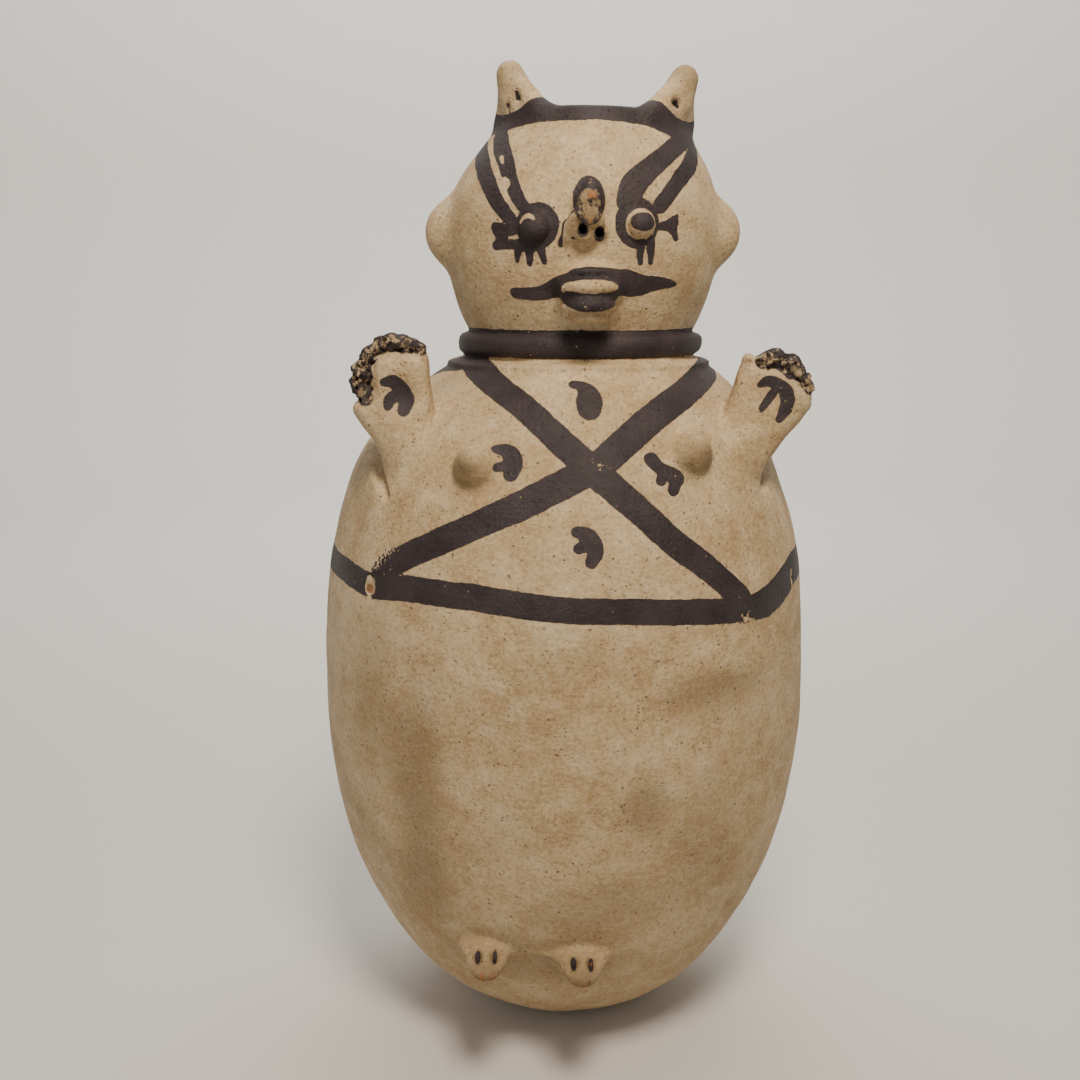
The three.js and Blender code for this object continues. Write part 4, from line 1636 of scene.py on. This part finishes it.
@dataclass(frozen=True)
class SlipPaintedClay:
    """Low-fired earthenware under a wiped, lightly burnished cream slip, painted with a dark mineral slip.

    To the eye: a chalky, warm cream that clouds between ochre and buff, peppered with dark temper, with faint
    wiping streaks and a dull sheen where a pebble rubbed it, and a purplish brown paint that has flaked.
    """

    cream: str = "#c3aa86"
    buff: str = "#a98f68"
    pale: str = "#d6c4a4"
    ochre: str = "#937043"
    # the colour of stains, also laid as painted shade wherever the stain attribute is
    stain: str = "#66512f"
    temper: str = "#4d3826"
    bare: str = "#94683f"
    paint: str = "#271e20"
    thin_paint: str = "#392f32"
    cloud_size: float = 46.0  # the breadth of slip that one wipe of the hand thins
    mottle_size: float = 11.0  # a fingertip's press
    grain_size: float = 1.7  # sand of 1 to 2 mm; the silt between its grains is too fine to show
    streak_size: float = 5.0  # between the ridges of a wiping finger
    temper_spacing: float = 4.6  # between the larger grains of dark temper
    fine_temper_spacing: float = 2.3  # between the lesser grains: really 1 mm, drawn wider to show
    pinhole_spacing: float = 5.2  # between the paint's pinholes: really 2 to 3 mm, drawn wider to show
    flake_size: float = 3.4  # of the flakes that the paint sheds
    brush_size: float = 17.0  # how often the brush ran dry and the paint thins
    waver_size: float = 4.2  # how often the brush's edge wavers
    tear_size: float = 0.95  # of the crumbs at a torn edge of paint
    crumb_size: float = 2.4  # of the crumbs of a fresh break
    rub_size: float = 24.0  # the width of a pebble's burnishing stroke
    relief: float = 0.7  # the height of the grain and the streaks together
    coat_height: float = 0.4  # the paint's thickness over the relief
    ior: float = 1.5  # usual for fired clay
    slip_roughness: float = 0.66
    paint_roughness: float = 0.58
    rub_range: float = 0.22  # how far the roughness changes from rubbed to raw
    sheen_level: float = 0.38  # under the usual 0.5, as pores break up the glint of an earthen skin

    def make(self) -> bpy.types.Material:
        """Builds the material.

        Returns:
            The material.
        """
        material = bpy.data.materials.new("slip_painted_earthenware")
        material.use_nodes = True
        tree = material.node_tree
        tree.nodes.clear()
        where = add(tree, "TexCoord").outputs["Object"]
        cream, height = self._cream(tree, where)
        mask = self._paint_mask(tree, where)
        tone = add(
            tree, "TexNoise",
            {"Vector": where, "Scale": per_metre(self.brush_size), "Detail": 5.0, "Roughness": 0.62})
        lean = add(tree, "MapRange", {"Value": tone, "From Min": 0.38, "From Max": 0.68})
        dark = self._mix(tree, lean, linear(self.paint), linear(self.thin_paint))
        painted = self._mix(tree, mask, cream, dark)
        bare = add(tree, "Attribute", attribute_name=Touch.BARE.value).outputs["Fac"]
        crumb = add(tree, "TexNoise", {"Vector": where, "Scale": per_metre(self.crumb_size), "Detail": 3.0})
        broken = add(tree, "MapRange", {"Value": crumb, "From Min": 0.36, "From Max": 0.66})
        raw = self._mix(tree, broken, linear(self.temper), linear(self.bare))
        rawness = add(tree, "Math", {0: crumb, 1: 0.9, 2: -0.45}, operation="MULTIPLY_ADD")
        bared = add(tree, "Math", {0: bare, 1: rawness}, operation="ADD")
        shown = add(tree, "MapRange", {"Value": bared, "From Min": 0.35, "From Max": 0.6})
        colour = self._mix(tree, shown, painted, raw)
        rough_mix = add(tree, "Mix", {0: mask, 2: self.slip_roughness, 3: self.paint_roughness})
        rub = add(tree, "TexNoise", {"Vector": where, "Scale": per_metre(self.rub_size), "Detail": 3.0})
        rubbed = add(
            tree, "Math", {0: rub, 1: self.rub_range, 2: -self.rub_range / 2}, operation="MULTIPLY_ADD")
        rough = add(tree, "Math", {0: rough_mix, 1: rubbed}, operation="ADD")
        coat = add(tree, "Math", {0: mask, 1: self.coat_height, 2: height}, operation="MULTIPLY_ADD")
        bump = add(tree, "Bump", {"Strength": 1.0, "Distance": self.relief * MM, "Height": coat})
        shader = add(
            tree,
            "BsdfPrincipled",
            {
                "Base Color": colour,
                "Roughness": rough,
                "IOR": self.ior,
                "Specular IOR Level": self.sheen_level,
                "Normal": bump,
            },
        )
        add(tree, "OutputMaterial", {"Surface": shader})
        return material

    @staticmethod
    def _mix(tree: bpy.types.NodeTree, share: object, first: object, second: object) -> bpy.types.NodeSocket:
        """Mixes two colours by a share, and returns the mixed colour."""
        mixer = add(tree, "Mix", {0: share, 6: first, 7: second}, data_type="RGBA")
        return mixer.outputs[2]

    def _cream(self, tree: bpy.types.NodeTree, where: bpy.types.NodeSocket) -> tuple[object, object]:
        """Builds the cream slip: its colour, and the height of its grain.

        Args:
            tree: The node tree.
            where: The place on the object.

        Returns:
            The colour and the height, from 0 to about 1.
        """
        cloud = add(tree, "TexNoise", {"Vector": where, "Scale": per_metre(self.cloud_size), "Detail": 4.0})
        clouded = add(tree, "MapRange", {"Value": cloud, "From Min": 0.35, "From Max": 0.68})
        fine = {"Vector": where, "Scale": per_metre(self.mottle_size), "Detail": 6.0, "Roughness": 0.65}
        mottle = add(tree, "TexNoise", fine)
        sandy = {"Vector": where, "Scale": per_metre(self.grain_size), "Detail": 4.0, "Roughness": 0.7}
        grain = add(tree, "TexNoise", sandy)
        wipe = add(
            tree, "Mapping", {"Vector": where, "Scale": (0.22, 0.22, 1.0), "Rotation": (0.0, 0.1, 0.0)})
        streak = add(tree, "TexNoise", {"Vector": wipe, "Scale": per_metre(self.streak_size), "Detail": 3.0})
        base = self._mix(tree, clouded, linear(self.cream), linear(self.buff))
        light = add(tree, "MapRange", {"Value": mottle, "From Min": 0.5, "From Max": 0.72, "To Max": 0.6})
        deep = add(tree, "MapRange", {"Value": mottle, "From Min": 0.48, "From Max": 0.28, "To Max": 0.55})
        lit = self._mix(tree, light, base, linear(self.pale))
        worked = self._mix(tree, deep, lit, linear(self.ochre))
        dirt = add(tree, "MapRange", {"Value": grain, "From Min": 0.5, "From Max": 0.3, "To Max": 0.42})
        dirtied = self._mix(tree, dirt, worked, linear(self.stain))
        dust = add(tree, "MapRange", {"Value": grain, "From Min": 0.52, "From Max": 0.7, "To Max": 0.42})
        grained = self._mix(tree, dust, dirtied, linear(self.pale))
        # the stain attribute: real stains, and painted shade laid as stain under the nose and the breasts, in
        # the toe slots and in the belly's dents
        stain = add(tree, "Attribute", attribute_name=Touch.STAIN.value).outputs["Fac"]
        uneven = add(tree, "Math", {0: stain, 1: mottle}, operation="MULTIPLY")
        stained_and_shaded = add(tree, "Math", {0: uneven, 1: 1.8}, operation="MULTIPLY", use_clamp=True)
        aged = self._mix(tree, stained_and_shaded, grained, linear(self.stain))
        cells = add(tree, "TexVoronoi", {"Vector": where, "Scale": per_metre(self.temper_spacing)})
        fleck = add(tree, "MapRange", {"Value": cells, "From Min": 0.15, "From Max": 0.06})
        kept = add(
            tree, "MapRange",
            {"Value": cells.outputs["Color"], "From Min": 0.4, "From Max": 0.6, "To Max": 0.8})
        large = add(tree, "Math", {0: fleck, 1: kept}, operation="MULTIPLY")
        grit = add(tree, "TexVoronoi", {"Vector": where, "Scale": per_metre(self.fine_temper_spacing)})
        speck = add(tree, "MapRange", {"Value": grit, "From Min": 0.24, "From Max": 0.12})
        spared = add(
            tree, "MapRange",
            {"Value": grit.outputs["Color"], "From Min": 0.48, "From Max": 0.64, "To Max": 0.55})
        small = add(tree, "Math", {0: speck, 1: spared}, operation="MULTIPLY")
        flecks = add(tree, "Math", {0: large, 1: small}, operation="MAXIMUM")
        peppered = self._mix(tree, flecks, aged, linear(self.temper))
        pit = add(tree, "Math", {0: flecks, 1: -0.6, 2: grain}, operation="MULTIPLY_ADD")
        height = add(tree, "Math", {0: streak, 1: 0.6, 2: pit}, operation="MULTIPLY_ADD")
        return peppered, height.outputs[0]

    def _paint_mask(self, tree: bpy.types.NodeTree, where: bpy.types.NodeSocket) -> bpy.types.NodeSocket:
        """Builds the share of dark slip: its wavering edge, its pinholes, and where it has flaked.

        Args:
            tree: The node tree.
            where: The place on the object.

        Returns:
            The share, from 0 to 1.
        """
        inside = add(tree, "Attribute", attribute_name=Slip.DARK.value).outputs["Fac"]
        waver = add(
            tree, "TexNoise",
            {"Vector": where, "Scale": per_metre(self.waver_size), "Detail": 4.0, "Roughness": 0.6})
        shake = add(tree, "Math", {0: waver, 1: 1.3, 2: -0.65}, operation="MULTIPLY_ADD")
        ragged = add(tree, "Attribute", attribute_name=Touch.RAGGED.value).outputs["Fac"]
        crumb = add(tree, "TexNoise", {"Vector": where, "Scale": per_metre(self.tear_size), "Detail": 2.0})
        torn = add(tree, "Math", {0: crumb, 1: 22.0, 2: -11.0}, operation="MULTIPLY_ADD")
        spread = add(tree, "Math", {0: torn, 1: ragged, 2: shake}, operation="MULTIPLY_ADD")
        edge = add(tree, "Math", {0: inside, 1: spread}, operation="ADD")
        mask = add(tree, "MapRange", {"Value": edge, "From Min": -0.16, "From Max": 0.16})
        flaky = {"Vector": where, "Scale": per_metre(self.flake_size), "Detail": 5.0, "Roughness": 0.72}
        flake = add(tree, "TexNoise", flaky)
        worn = add(tree, "Attribute", attribute_name=Touch.WORN.value).outputs["Fac"]
        limit = add(tree, "Math", {0: worn, 1: -0.25, 2: 0.71}, operation="MULTIPLY_ADD")
        over = add(tree, "Math", {0: flake, 1: limit}, operation="SUBTRACT")
        gone = add(tree, "MapRange", {"Value": over, "From Min": 0.0, "From Max": 0.05, "To Max": 0.85})
        left = add(tree, "Math", {0: 1.0, 1: gone}, operation="SUBTRACT")
        kept = add(tree, "Math", {0: mask, 1: left}, operation="MULTIPLY")
        holes = add(tree, "TexVoronoi", {"Vector": where, "Scale": per_metre(self.pinhole_spacing)})
        hole = add(tree, "MapRange", {"Value": holes, "From Min": 0.09, "From Max": 0.04})
        some = add(
            tree, "MapRange",
            {"Value": holes.outputs["Color"], "From Min": 0.5, "From Max": 0.62, "To Max": 0.8})
        pricked = add(tree, "Math", {0: hole, 1: some}, operation="MULTIPLY")
        whole = add(tree, "Math", {0: 1.0, 1: pricked}, operation="SUBTRACT")
        return add(tree, "Math", {0: kept.outputs[0], 1: whole.outputs[0]}, operation="MULTIPLY").outputs[0]


@dataclass
class EffigyJar:
    """The whole jar as one fired piece.

    Attributes:
        spacing: The grid's step across the jar, in mm.
        coarse: Its step up the lower belly.
        fine: Its step up the chest and head.
        fine_from: The height where the fine step starts.
        triangles: How many triangles the finished mesh keeps.
        margin: How far the grid runs past the jar.
        sill: How far it starts below the base.
    """

    vessel: Vessel = field(default_factory=Vessel)
    spacing: float = 1.25
    coarse: float = 1.7
    fine: float = 1.15
    fine_from: float = 208.0
    triangles: int = 192_000
    margin: float = 6.0
    sill: float = 3.4

    def __post_init__(self) -> None:
        """Lists the parts that are modelled and painted on the vessel."""
        self.eyes = [
            Eye(Side.LEFT, -20.2, 377.2, 7.2, 5.4, (9.3, 9.3), (1.2, 0.6)),
            Eye(Side.RIGHT, 20.8, 378.2, 6.5, 5.4, (9.6, 10.2), (-1.4, 0.6)),
        ]
        self.nose, self.mouth, self.brows = Nose(), Mouth(), Brows()
        self.ears = [Ear(side) for side in Side]
        right_pit = ((45.8, 429.4), (47.2, 428.2), 1.9)
        right_horn = Horn(
            Side.RIGHT, height=18.8, lean=3.7, cream_middle=438.8, grime=0.7, pit_places=(right_pit,))
        self.horns = [Horn(Side.LEFT), right_horn]
        left_paw = PawMark(
            [
                (-76.5, 314.3, 3.8), (-73.3, 314.8, 5.2), (-69.8, 311.4, 6.8), (-67.8, 307, 7.3),
                (-68.6, 302.2, 5.2)],
            [[(-71.7, 309, 5), (-74.6, 306.7, 5.1), (-75.4, 304.2, 3.8)]],
        )
        right_curl = [
            (81.9, 312.9, 3), (84.5, 314.2, 4.4), (89, 313.2, 5.5), (92.9, 310, 6), (93.6, 306.3, 6.2),
            (92.7, 302.1, 5.6), (90.4, 298.3, 3.4)]
        right_paw = PawMark(
            right_curl, [[(89.4, 311.6, 3.4), (87.1, 309, 3.6), (84.9, 305.8, 3.8), (82.3, 302.6, 2.8)]])
        left_hand = [
            (-52, 284), (-56.5, 300), (-57.8, 313.1), (-57.9, 320.5), (-59, 325.6), (-62.5, 327),
            (-68.5, 327.4), (-75, 326.9), (-80, 325), (-82.4, 321), (-83.2, 316.5), (-82.6, 310.5),
            (-84.4, 306.8), (-88.2, 305.4), (-90.6, 302.8), (-90.2, 299.6), (-87.6, 295.6), (-82.8, 289.3),
            (-78.4, 280.5), (-76.3, 273.6), (-64, 268)]
        left_stumps = [
            (-61.6, 327.9, 2.4), (-64.8, 329.2, 3), (-69, 330.2, 3.6), (-73.6, 330.8, 3.7), (-77.8, 330, 3.2),
            (-81.4, 327.2, 2.6), (-83.4, 325.4, 3.7), (-85.4, 321.9, 3), (-88.2, 319.4, 3),
            (-85.8, 316.8, 3.5), (-88.9, 313.4, 3.2), (-86.6, 310.6, 3.9), (-85, 307.6, 2.8)]
        right_hand = [
            (63, 284), (66, 296), (69.8, 305.8), (72.6, 314.8), (74.9, 321.2), (77.4, 324.9), (80.4, 323.6),
            (83.6, 320.9), (88.8, 319.6), (95, 317.2), (99.2, 314.2), (102.2, 311.8), (104.9, 309.6),
            (105, 302.8), (100.5, 296.4), (94.5, 289.4), (89.7, 282.2), (86.1, 277), (84.3, 272.6), (72, 268)]
        right_stumps = [
            (82.6, 322.2, 2.4), (85.4, 323.2, 3.2), (88.8, 324.2, 3.7), (92.6, 321.8, 4), (96.4, 321.2, 4),
            (95, 318.6, 3), (98.9, 317.8, 3.4), (102, 314.2, 2.8), (103.7, 311.4, 2.5)]
        left_root = [
            (-56, -47, 276, 15), (-66, -50.5, 285, 12.5), (-71, -50.5, 296, 11), (-73, -50.2, 308, 9)]
        right_root = [(62, -44, 276, 15), (73, -46, 284, 12.5), (80, -46, 294, 11), (86, -45.7, 305, 9)]
        left_crease = [(-89, 288.5), (-84, 280.5), (-80.5, 273), (-77, 266)]
        right_crease = [(95.5, 286.5), (91.5, 279.5), (88.6, 273.5), (86, 267)]
        self.arms = [
            Arm(
                Side.LEFT, -50.2, left_hand, left_root, left_crease, left_stumps, (-87.6, 302.6, 3.6),
                left_paw),
            Arm(
                Side.RIGHT, -45.7, right_hand, right_root, right_crease, right_stumps, (77.8, 323.0, 2.6),
                right_paw),
        ]
        self.breasts = [Breast(-24.8), Breast(33.3, 286.3)]
        self.feet = [Foot(-21, (5, 10)), Foot(4, (18, 6), reach=17.6)]
        self.straps, self.wear = Straps(), Wear()
        self.paws = [
            PawMark([
                (2.6, 313.5, 4.2), (6.2, 313.2, 5.4), (8.6, 310.2, 9), (9, 306.8, 11.2), (8.9, 304, 9.4)]),
            PawMark(
                [
                    (-29, 288.9, 4.4), (-25.2, 288.4, 6.2), (-22.4, 285.8, 7.6), (-22, 282.6, 7.6),
                    (-23.2, 279.6, 6.2)],
                [[(-23.6, 283.6, 5.2), (-28.9, 281.9, 3.6)]],
            ),
            PawMark(
                [(33.9, 284.6, 6.4), (37.2, 281.4, 6), (40.6, 279.2, 6.6), (44.4, 277.2, 7.4)],
                [[(39.1, 279.8, 5), (37.7, 276.4, 4.6)], [(44.2, 276.8, 6.4), (42.8, 272.5, 5.2)]],
            ),
            PawMark(
                [
                    (3.2, 258.2, 4.6), (7.2, 257.2, 5.8), (10.2, 253.6, 6.8), (10.5, 249.8, 6.4),
                    (9, 246.4, 5.2)],
                [[(8.2, 254, 6.2), (4, 251.6, 4.4)]],
            ),
        ]

    def model(self) -> ClayBlock:
        """Models the clay.

        Returns:
            The block of clay.
        """
        low, high = (np.array(corner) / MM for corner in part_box("effigy_jar"))
        xs, ys = (np.arange(low[n] - self.margin, high[n] + self.margin, self.spacing) for n in (0, 1))
        lower = np.arange(-self.sill, self.fine_from, self.coarse)
        zs = np.concatenate([lower, np.arange(self.fine_from, high[2] + self.margin, self.fine)])
        clay = ClayBlock(xs, ys, zs)
        self.vessel.model(clay)
        for part in (
            *self.arms, *self.breasts, *self.ears, *self.horns, *self.feet, self.nose, self.mouth, *self.eyes
        ):
            part.model(clay, self.vessel)
        self.wear.model(clay)
        return clay

    def paint(self, clay: ClayBlock) -> SlipWork:
        """Paints the clay.

        Args:
            clay: The modelled clay.

        Returns:
            All that is laid on it.
        """
        work = SlipWork(clay)
        self.brows.paint(work)
        for eye in self.eyes:
            eye.paint(work, self.vessel)
        self.nose.paint(work)
        self.mouth.paint(work)
        self.straps.paint(work)
        for mark in self.paws:
            mark.paint(work)
        for arm in self.arms:
            arm.paint(work)
        self.vessel.paint(work)
        for horn in self.horns:
            horn.paint(work, self.vessel)
        for part in (*self.breasts, *self.feet):
            part.paint(work, self.vessel)
        self.wear.paint(work, self.vessel)
        return work

    def build(self) -> bpy.types.Object:
        """Builds the fired jar: its mesh, thinned where it is smooth, with what is laid on it as attributes.

        Returns:
            The jar.
        """
        clay = self.model()
        work = self.paint(clay)
        corners, faces = clay.skin()
        log.info("clay skin: %d corners, %d faces", len(corners), len(faces))
        mesh = self._mesh("clay_net", corners, faces)
        jar = bpy.data.objects.new("clay_jar", mesh)
        bpy.context.scene.collection.objects.link(jar)
        edge = np.abs(work.dark(corners)) < 1.0
        fine = self._fine_places(corners)
        group = jar.vertex_groups.new(name="thin")
        group.add(np.nonzero(~edge & ~fine)[0].tolist(), 1.0, "REPLACE")
        group.add(np.nonzero(~edge & fine)[0].tolist(), 0.3, "REPLACE")
        thin = jar.modifiers.new("thin", "DECIMATE")
        thin.ratio = self.triangles / (2 * len(faces))
        thin.vertex_group = group.name
        graph = bpy.context.evaluated_depsgraph_get()
        finished = bpy.data.meshes.new_from_object(jar.evaluated_get(graph))
        jar.modifiers.clear()
        jar.vertex_groups.clear()
        jar.data = finished
        bpy.data.meshes.remove(mesh)
        finished.name = "clay_jar"
        self._lay_attributes(finished, work)
        log.info("clay jar: %d triangles", sum(len(p.vertices) - 2 for p in finished.polygons))
        return jar

    def _fine_places(self, corners: Vec) -> Vec:
        """Finds the corners on the face, the hands and the feet, where the relief is fine.

        Args:
            corners: The corners, in mm.

        Returns:
            Whether each corner is in such a place.
        """
        x, y, z = corners.T
        face = (y < -40) & (z > 338) & (z < 400) & (np.abs(x - 9) < 32)
        hands = (z > 296) & (z < 336) & (np.abs(x - 6) > 62) & (y < -36)
        feet = (y < -82) & (z < 80)
        return face | hands | feet

    @staticmethod
    def _mesh(name: str, corners: Vec, faces: Vec) -> bpy.types.Mesh:
        """Makes a smooth mesh in metres from corners in mm and four-sided faces.

        Args:
            name: Its name.
            corners: The corners, in mm.
            faces: The faces as rows of four corner numbers.

        Returns:
            The mesh.
        """
        mesh = bpy.data.meshes.new(name)
        mesh.vertices.add(len(corners))
        mesh.vertices.foreach_set("co", (corners * MM).astype(np.float32).ravel())
        mesh.loops.add(faces.size)
        mesh.loops.foreach_set("vertex_index", faces.astype(np.int32).ravel())
        mesh.polygons.add(len(faces))
        mesh.polygons.foreach_set("loop_start", np.arange(0, faces.size, 4, dtype=np.int32))
        mesh.update(calc_edges=True)
        mesh.validate()
        return mesh

    @staticmethod
    def _lay_attributes(mesh: bpy.types.Mesh, work: SlipWork) -> None:
        """Writes the slip's distance and each kind of wear on the mesh's corners.

        Args:
            mesh: The mesh.
            work: What is laid on the clay.
        """
        places = np.zeros(len(mesh.vertices) * 3, np.float32)
        mesh.vertices.foreach_get("co", places)
        points = places.reshape(-1, 3).astype(float) / MM
        values = {Slip.DARK.value: work.dark(points)}
        values.update({touch.value: work.touched(touch, points) for touch in Touch})
        for name, value in values.items():
            mesh.attributes.new(name, "FLOAT", "POINT").data.foreach_set("value", value.astype(np.float32))
        mesh.polygons.foreach_set("use_smooth", [True] * len(mesh.polygons))
        mesh.update()

    def dress(self, jar: bpy.types.Object) -> None:
        """Gives the jar its finish and ties it to the frame.

        Args:
            jar: The jar.
        """
        jar.data.materials.clear()
        jar.data.materials.append(SlipPaintedClay().make())
        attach(jar, "root")
        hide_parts("effigy_jar")


@dataclass(frozen=True)
class PaintedBoard:
    """Smooth board under matt pale paint: an even light grey that takes soft shadows and shows no sheen."""

    colour: str = "#d6d3cd"
    roughness: float = 0.85

    def make(self) -> bpy.types.Material:
        """Builds the material.

        Returns:
            The material.
        """
        material = bpy.data.materials.new("matt_painted_board")
        material.use_nodes = True
        tree = material.node_tree
        tree.nodes.clear()
        shader = add(tree, "BsdfPrincipled", {"Base Color": linear(self.colour), "Roughness": self.roughness})
        add(tree, "OutputMaterial", {"Surface": shader.outputs[0]})
        return material


@dataclass(frozen=True)
class Lamp:
    """A square soft light."""

    name: str
    place: Point
    aim: Point
    size: float
    power: float  # in watts
    colour: str

    def build(self) -> None:
        """Adds the light to the scene."""
        lamp = bpy.data.lights.new(self.name, "AREA")
        lamp.size, lamp.energy, lamp.color = self.size, self.power, linear(self.colour)[:3]
        holder = bpy.data.objects.new(self.name, lamp)
        holder.location = self.place
        holder.rotation_euler = (Vector(self.aim) - Vector(self.place)).to_track_quat("-Z", "Y").to_euler()
        bpy.context.scene.collection.objects.link(holder)


@dataclass
class Studio:
    """The pale floor that curves up all round, the soft lights and the camera.

    Attributes:
        focal_pixels: The camera's focal length in pixels of the photograph's frame.
        frame_pixels: The frame's side in pixels.
        pitch: How far the camera looks down, in degrees.
        distance: From the camera to the point that it looks at, in metres.
        target: The point that it looks at, in metres.
        floor_radius: How far the floor runs level, in metres.
        curve_radius: The radius with which it turns up.
        wall_height: How high it rises.
        sides: How many sides stand for its circle.
        air_colour: The colour of the light from all round.
        air_strength: And its strength.
    """

    focal_pixels: float = 1150.0
    frame_pixels: float = 1080.0
    sensor: float = 36.0
    pitch: float = 12.5
    distance: float = 0.555
    target: tuple[float, float, float] = (-0.01134, 0.0, 0.2338)
    floor_radius: float = 1.5
    curve_radius: float = 0.6
    wall_height: float = 2.4
    sides: int = 96
    air_colour: str = "#e4e6ea"
    air_strength: float = 0.17
    lamps: tuple[Lamp, ...] = (
        Lamp("key", (0.07, -0.5, 0.92), (0.0, -0.03, 0.3), 0.22, 8.4, "#fff1de"),
        Lamp("fill", (-0.6, -0.95, 0.5), (0.0, 0.0, 0.26), 0.9, 1.5, "#eef1f6"),
        Lamp("backdrop", (0.0, 0.9, 1.7), (0.0, 2.0, 0.5), 1.4, 46.0, "#f6f5f2"),
    )

    def build(self) -> None:
        """Builds the floor, the lights and the camera."""
        self._floor()
        for lamp in self.lamps:
            lamp.build()
        world = bpy.data.worlds.new("studio")
        world.use_nodes = True
        air = world.node_tree.nodes["Background"]
        air.inputs["Color"].default_value = linear(self.air_colour)
        air.inputs["Strength"].default_value = self.air_strength
        bpy.context.scene.world = world
        self._camera()

    def _floor(self) -> None:
        """Builds the floor as one sheet that curves up into a wall all round."""
        sides = self.sides
        turn = np.radians(np.linspace(0, 90, 13))
        profile = [(0.02, 0.0), (0.4, 0.0), (self.floor_radius, 0.0)]
        rise = self.curve_radius
        profile += [(self.floor_radius + rise * math.sin(a), rise * (1 - math.cos(a))) for a in turn[1:]]
        profile.append((self.floor_radius + rise, self.wall_height))
        angles = np.radians(np.arange(sides) * 360 / sides)
        corners = [(r * math.cos(a), r * math.sin(a), z) for r, z in profile for a in angles]
        faces = [tuple(range(sides))]
        for ring in range(len(profile) - 1):
            for i in range(sides):
                j = (i + 1) % sides
                a, b = ring * sides, (ring + 1) * sides
                faces.append((a + i, b + i, b + j, a + j))
        mesh = bpy.data.meshes.new("floor")
        mesh.from_pydata(corners, [], faces)
        mesh.polygons.foreach_set("use_smooth", [True] * len(mesh.polygons))
        floor = bpy.data.objects.new("floor", mesh)
        floor.data.materials.append(PaintedBoard().make())
        bpy.context.scene.collection.objects.link(floor)

    def _camera(self) -> None:
        """Adds the camera at the photograph's viewing angle."""
        lens = bpy.data.cameras.new("camera")
        lens.sensor_width = self.sensor
        lens.lens = self.sensor * self.focal_pixels / self.frame_pixels
        lens.clip_start, lens.clip_end = 0.01, 20.0
        camera = bpy.data.objects.new("camera", lens)
        angle = math.radians(self.pitch)
        back = Vector((0.0, -math.cos(angle), math.sin(angle)))
        camera.location = Vector(self.target) + self.distance * back
        camera.rotation_euler = (math.radians(90 - self.pitch), 0.0, 0.0)
        bpy.context.scene.collection.objects.link(camera)
        bpy.context.scene.camera = camera


def main() -> None:
    """Builds the studio and the jar, and reports each piece."""
    logging.basicConfig(level=logging.INFO, format="%(name)s %(message)s")
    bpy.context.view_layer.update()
    Studio().build()
    log.info("studio: floor, three soft lights and the camera")
    effigy = EffigyJar()
    jar = effigy.build()
    effigy.dress(jar)
    log.info("clay_jar rides on root and stands for effigy_jar")


if __name__ == "__main__":
    main()
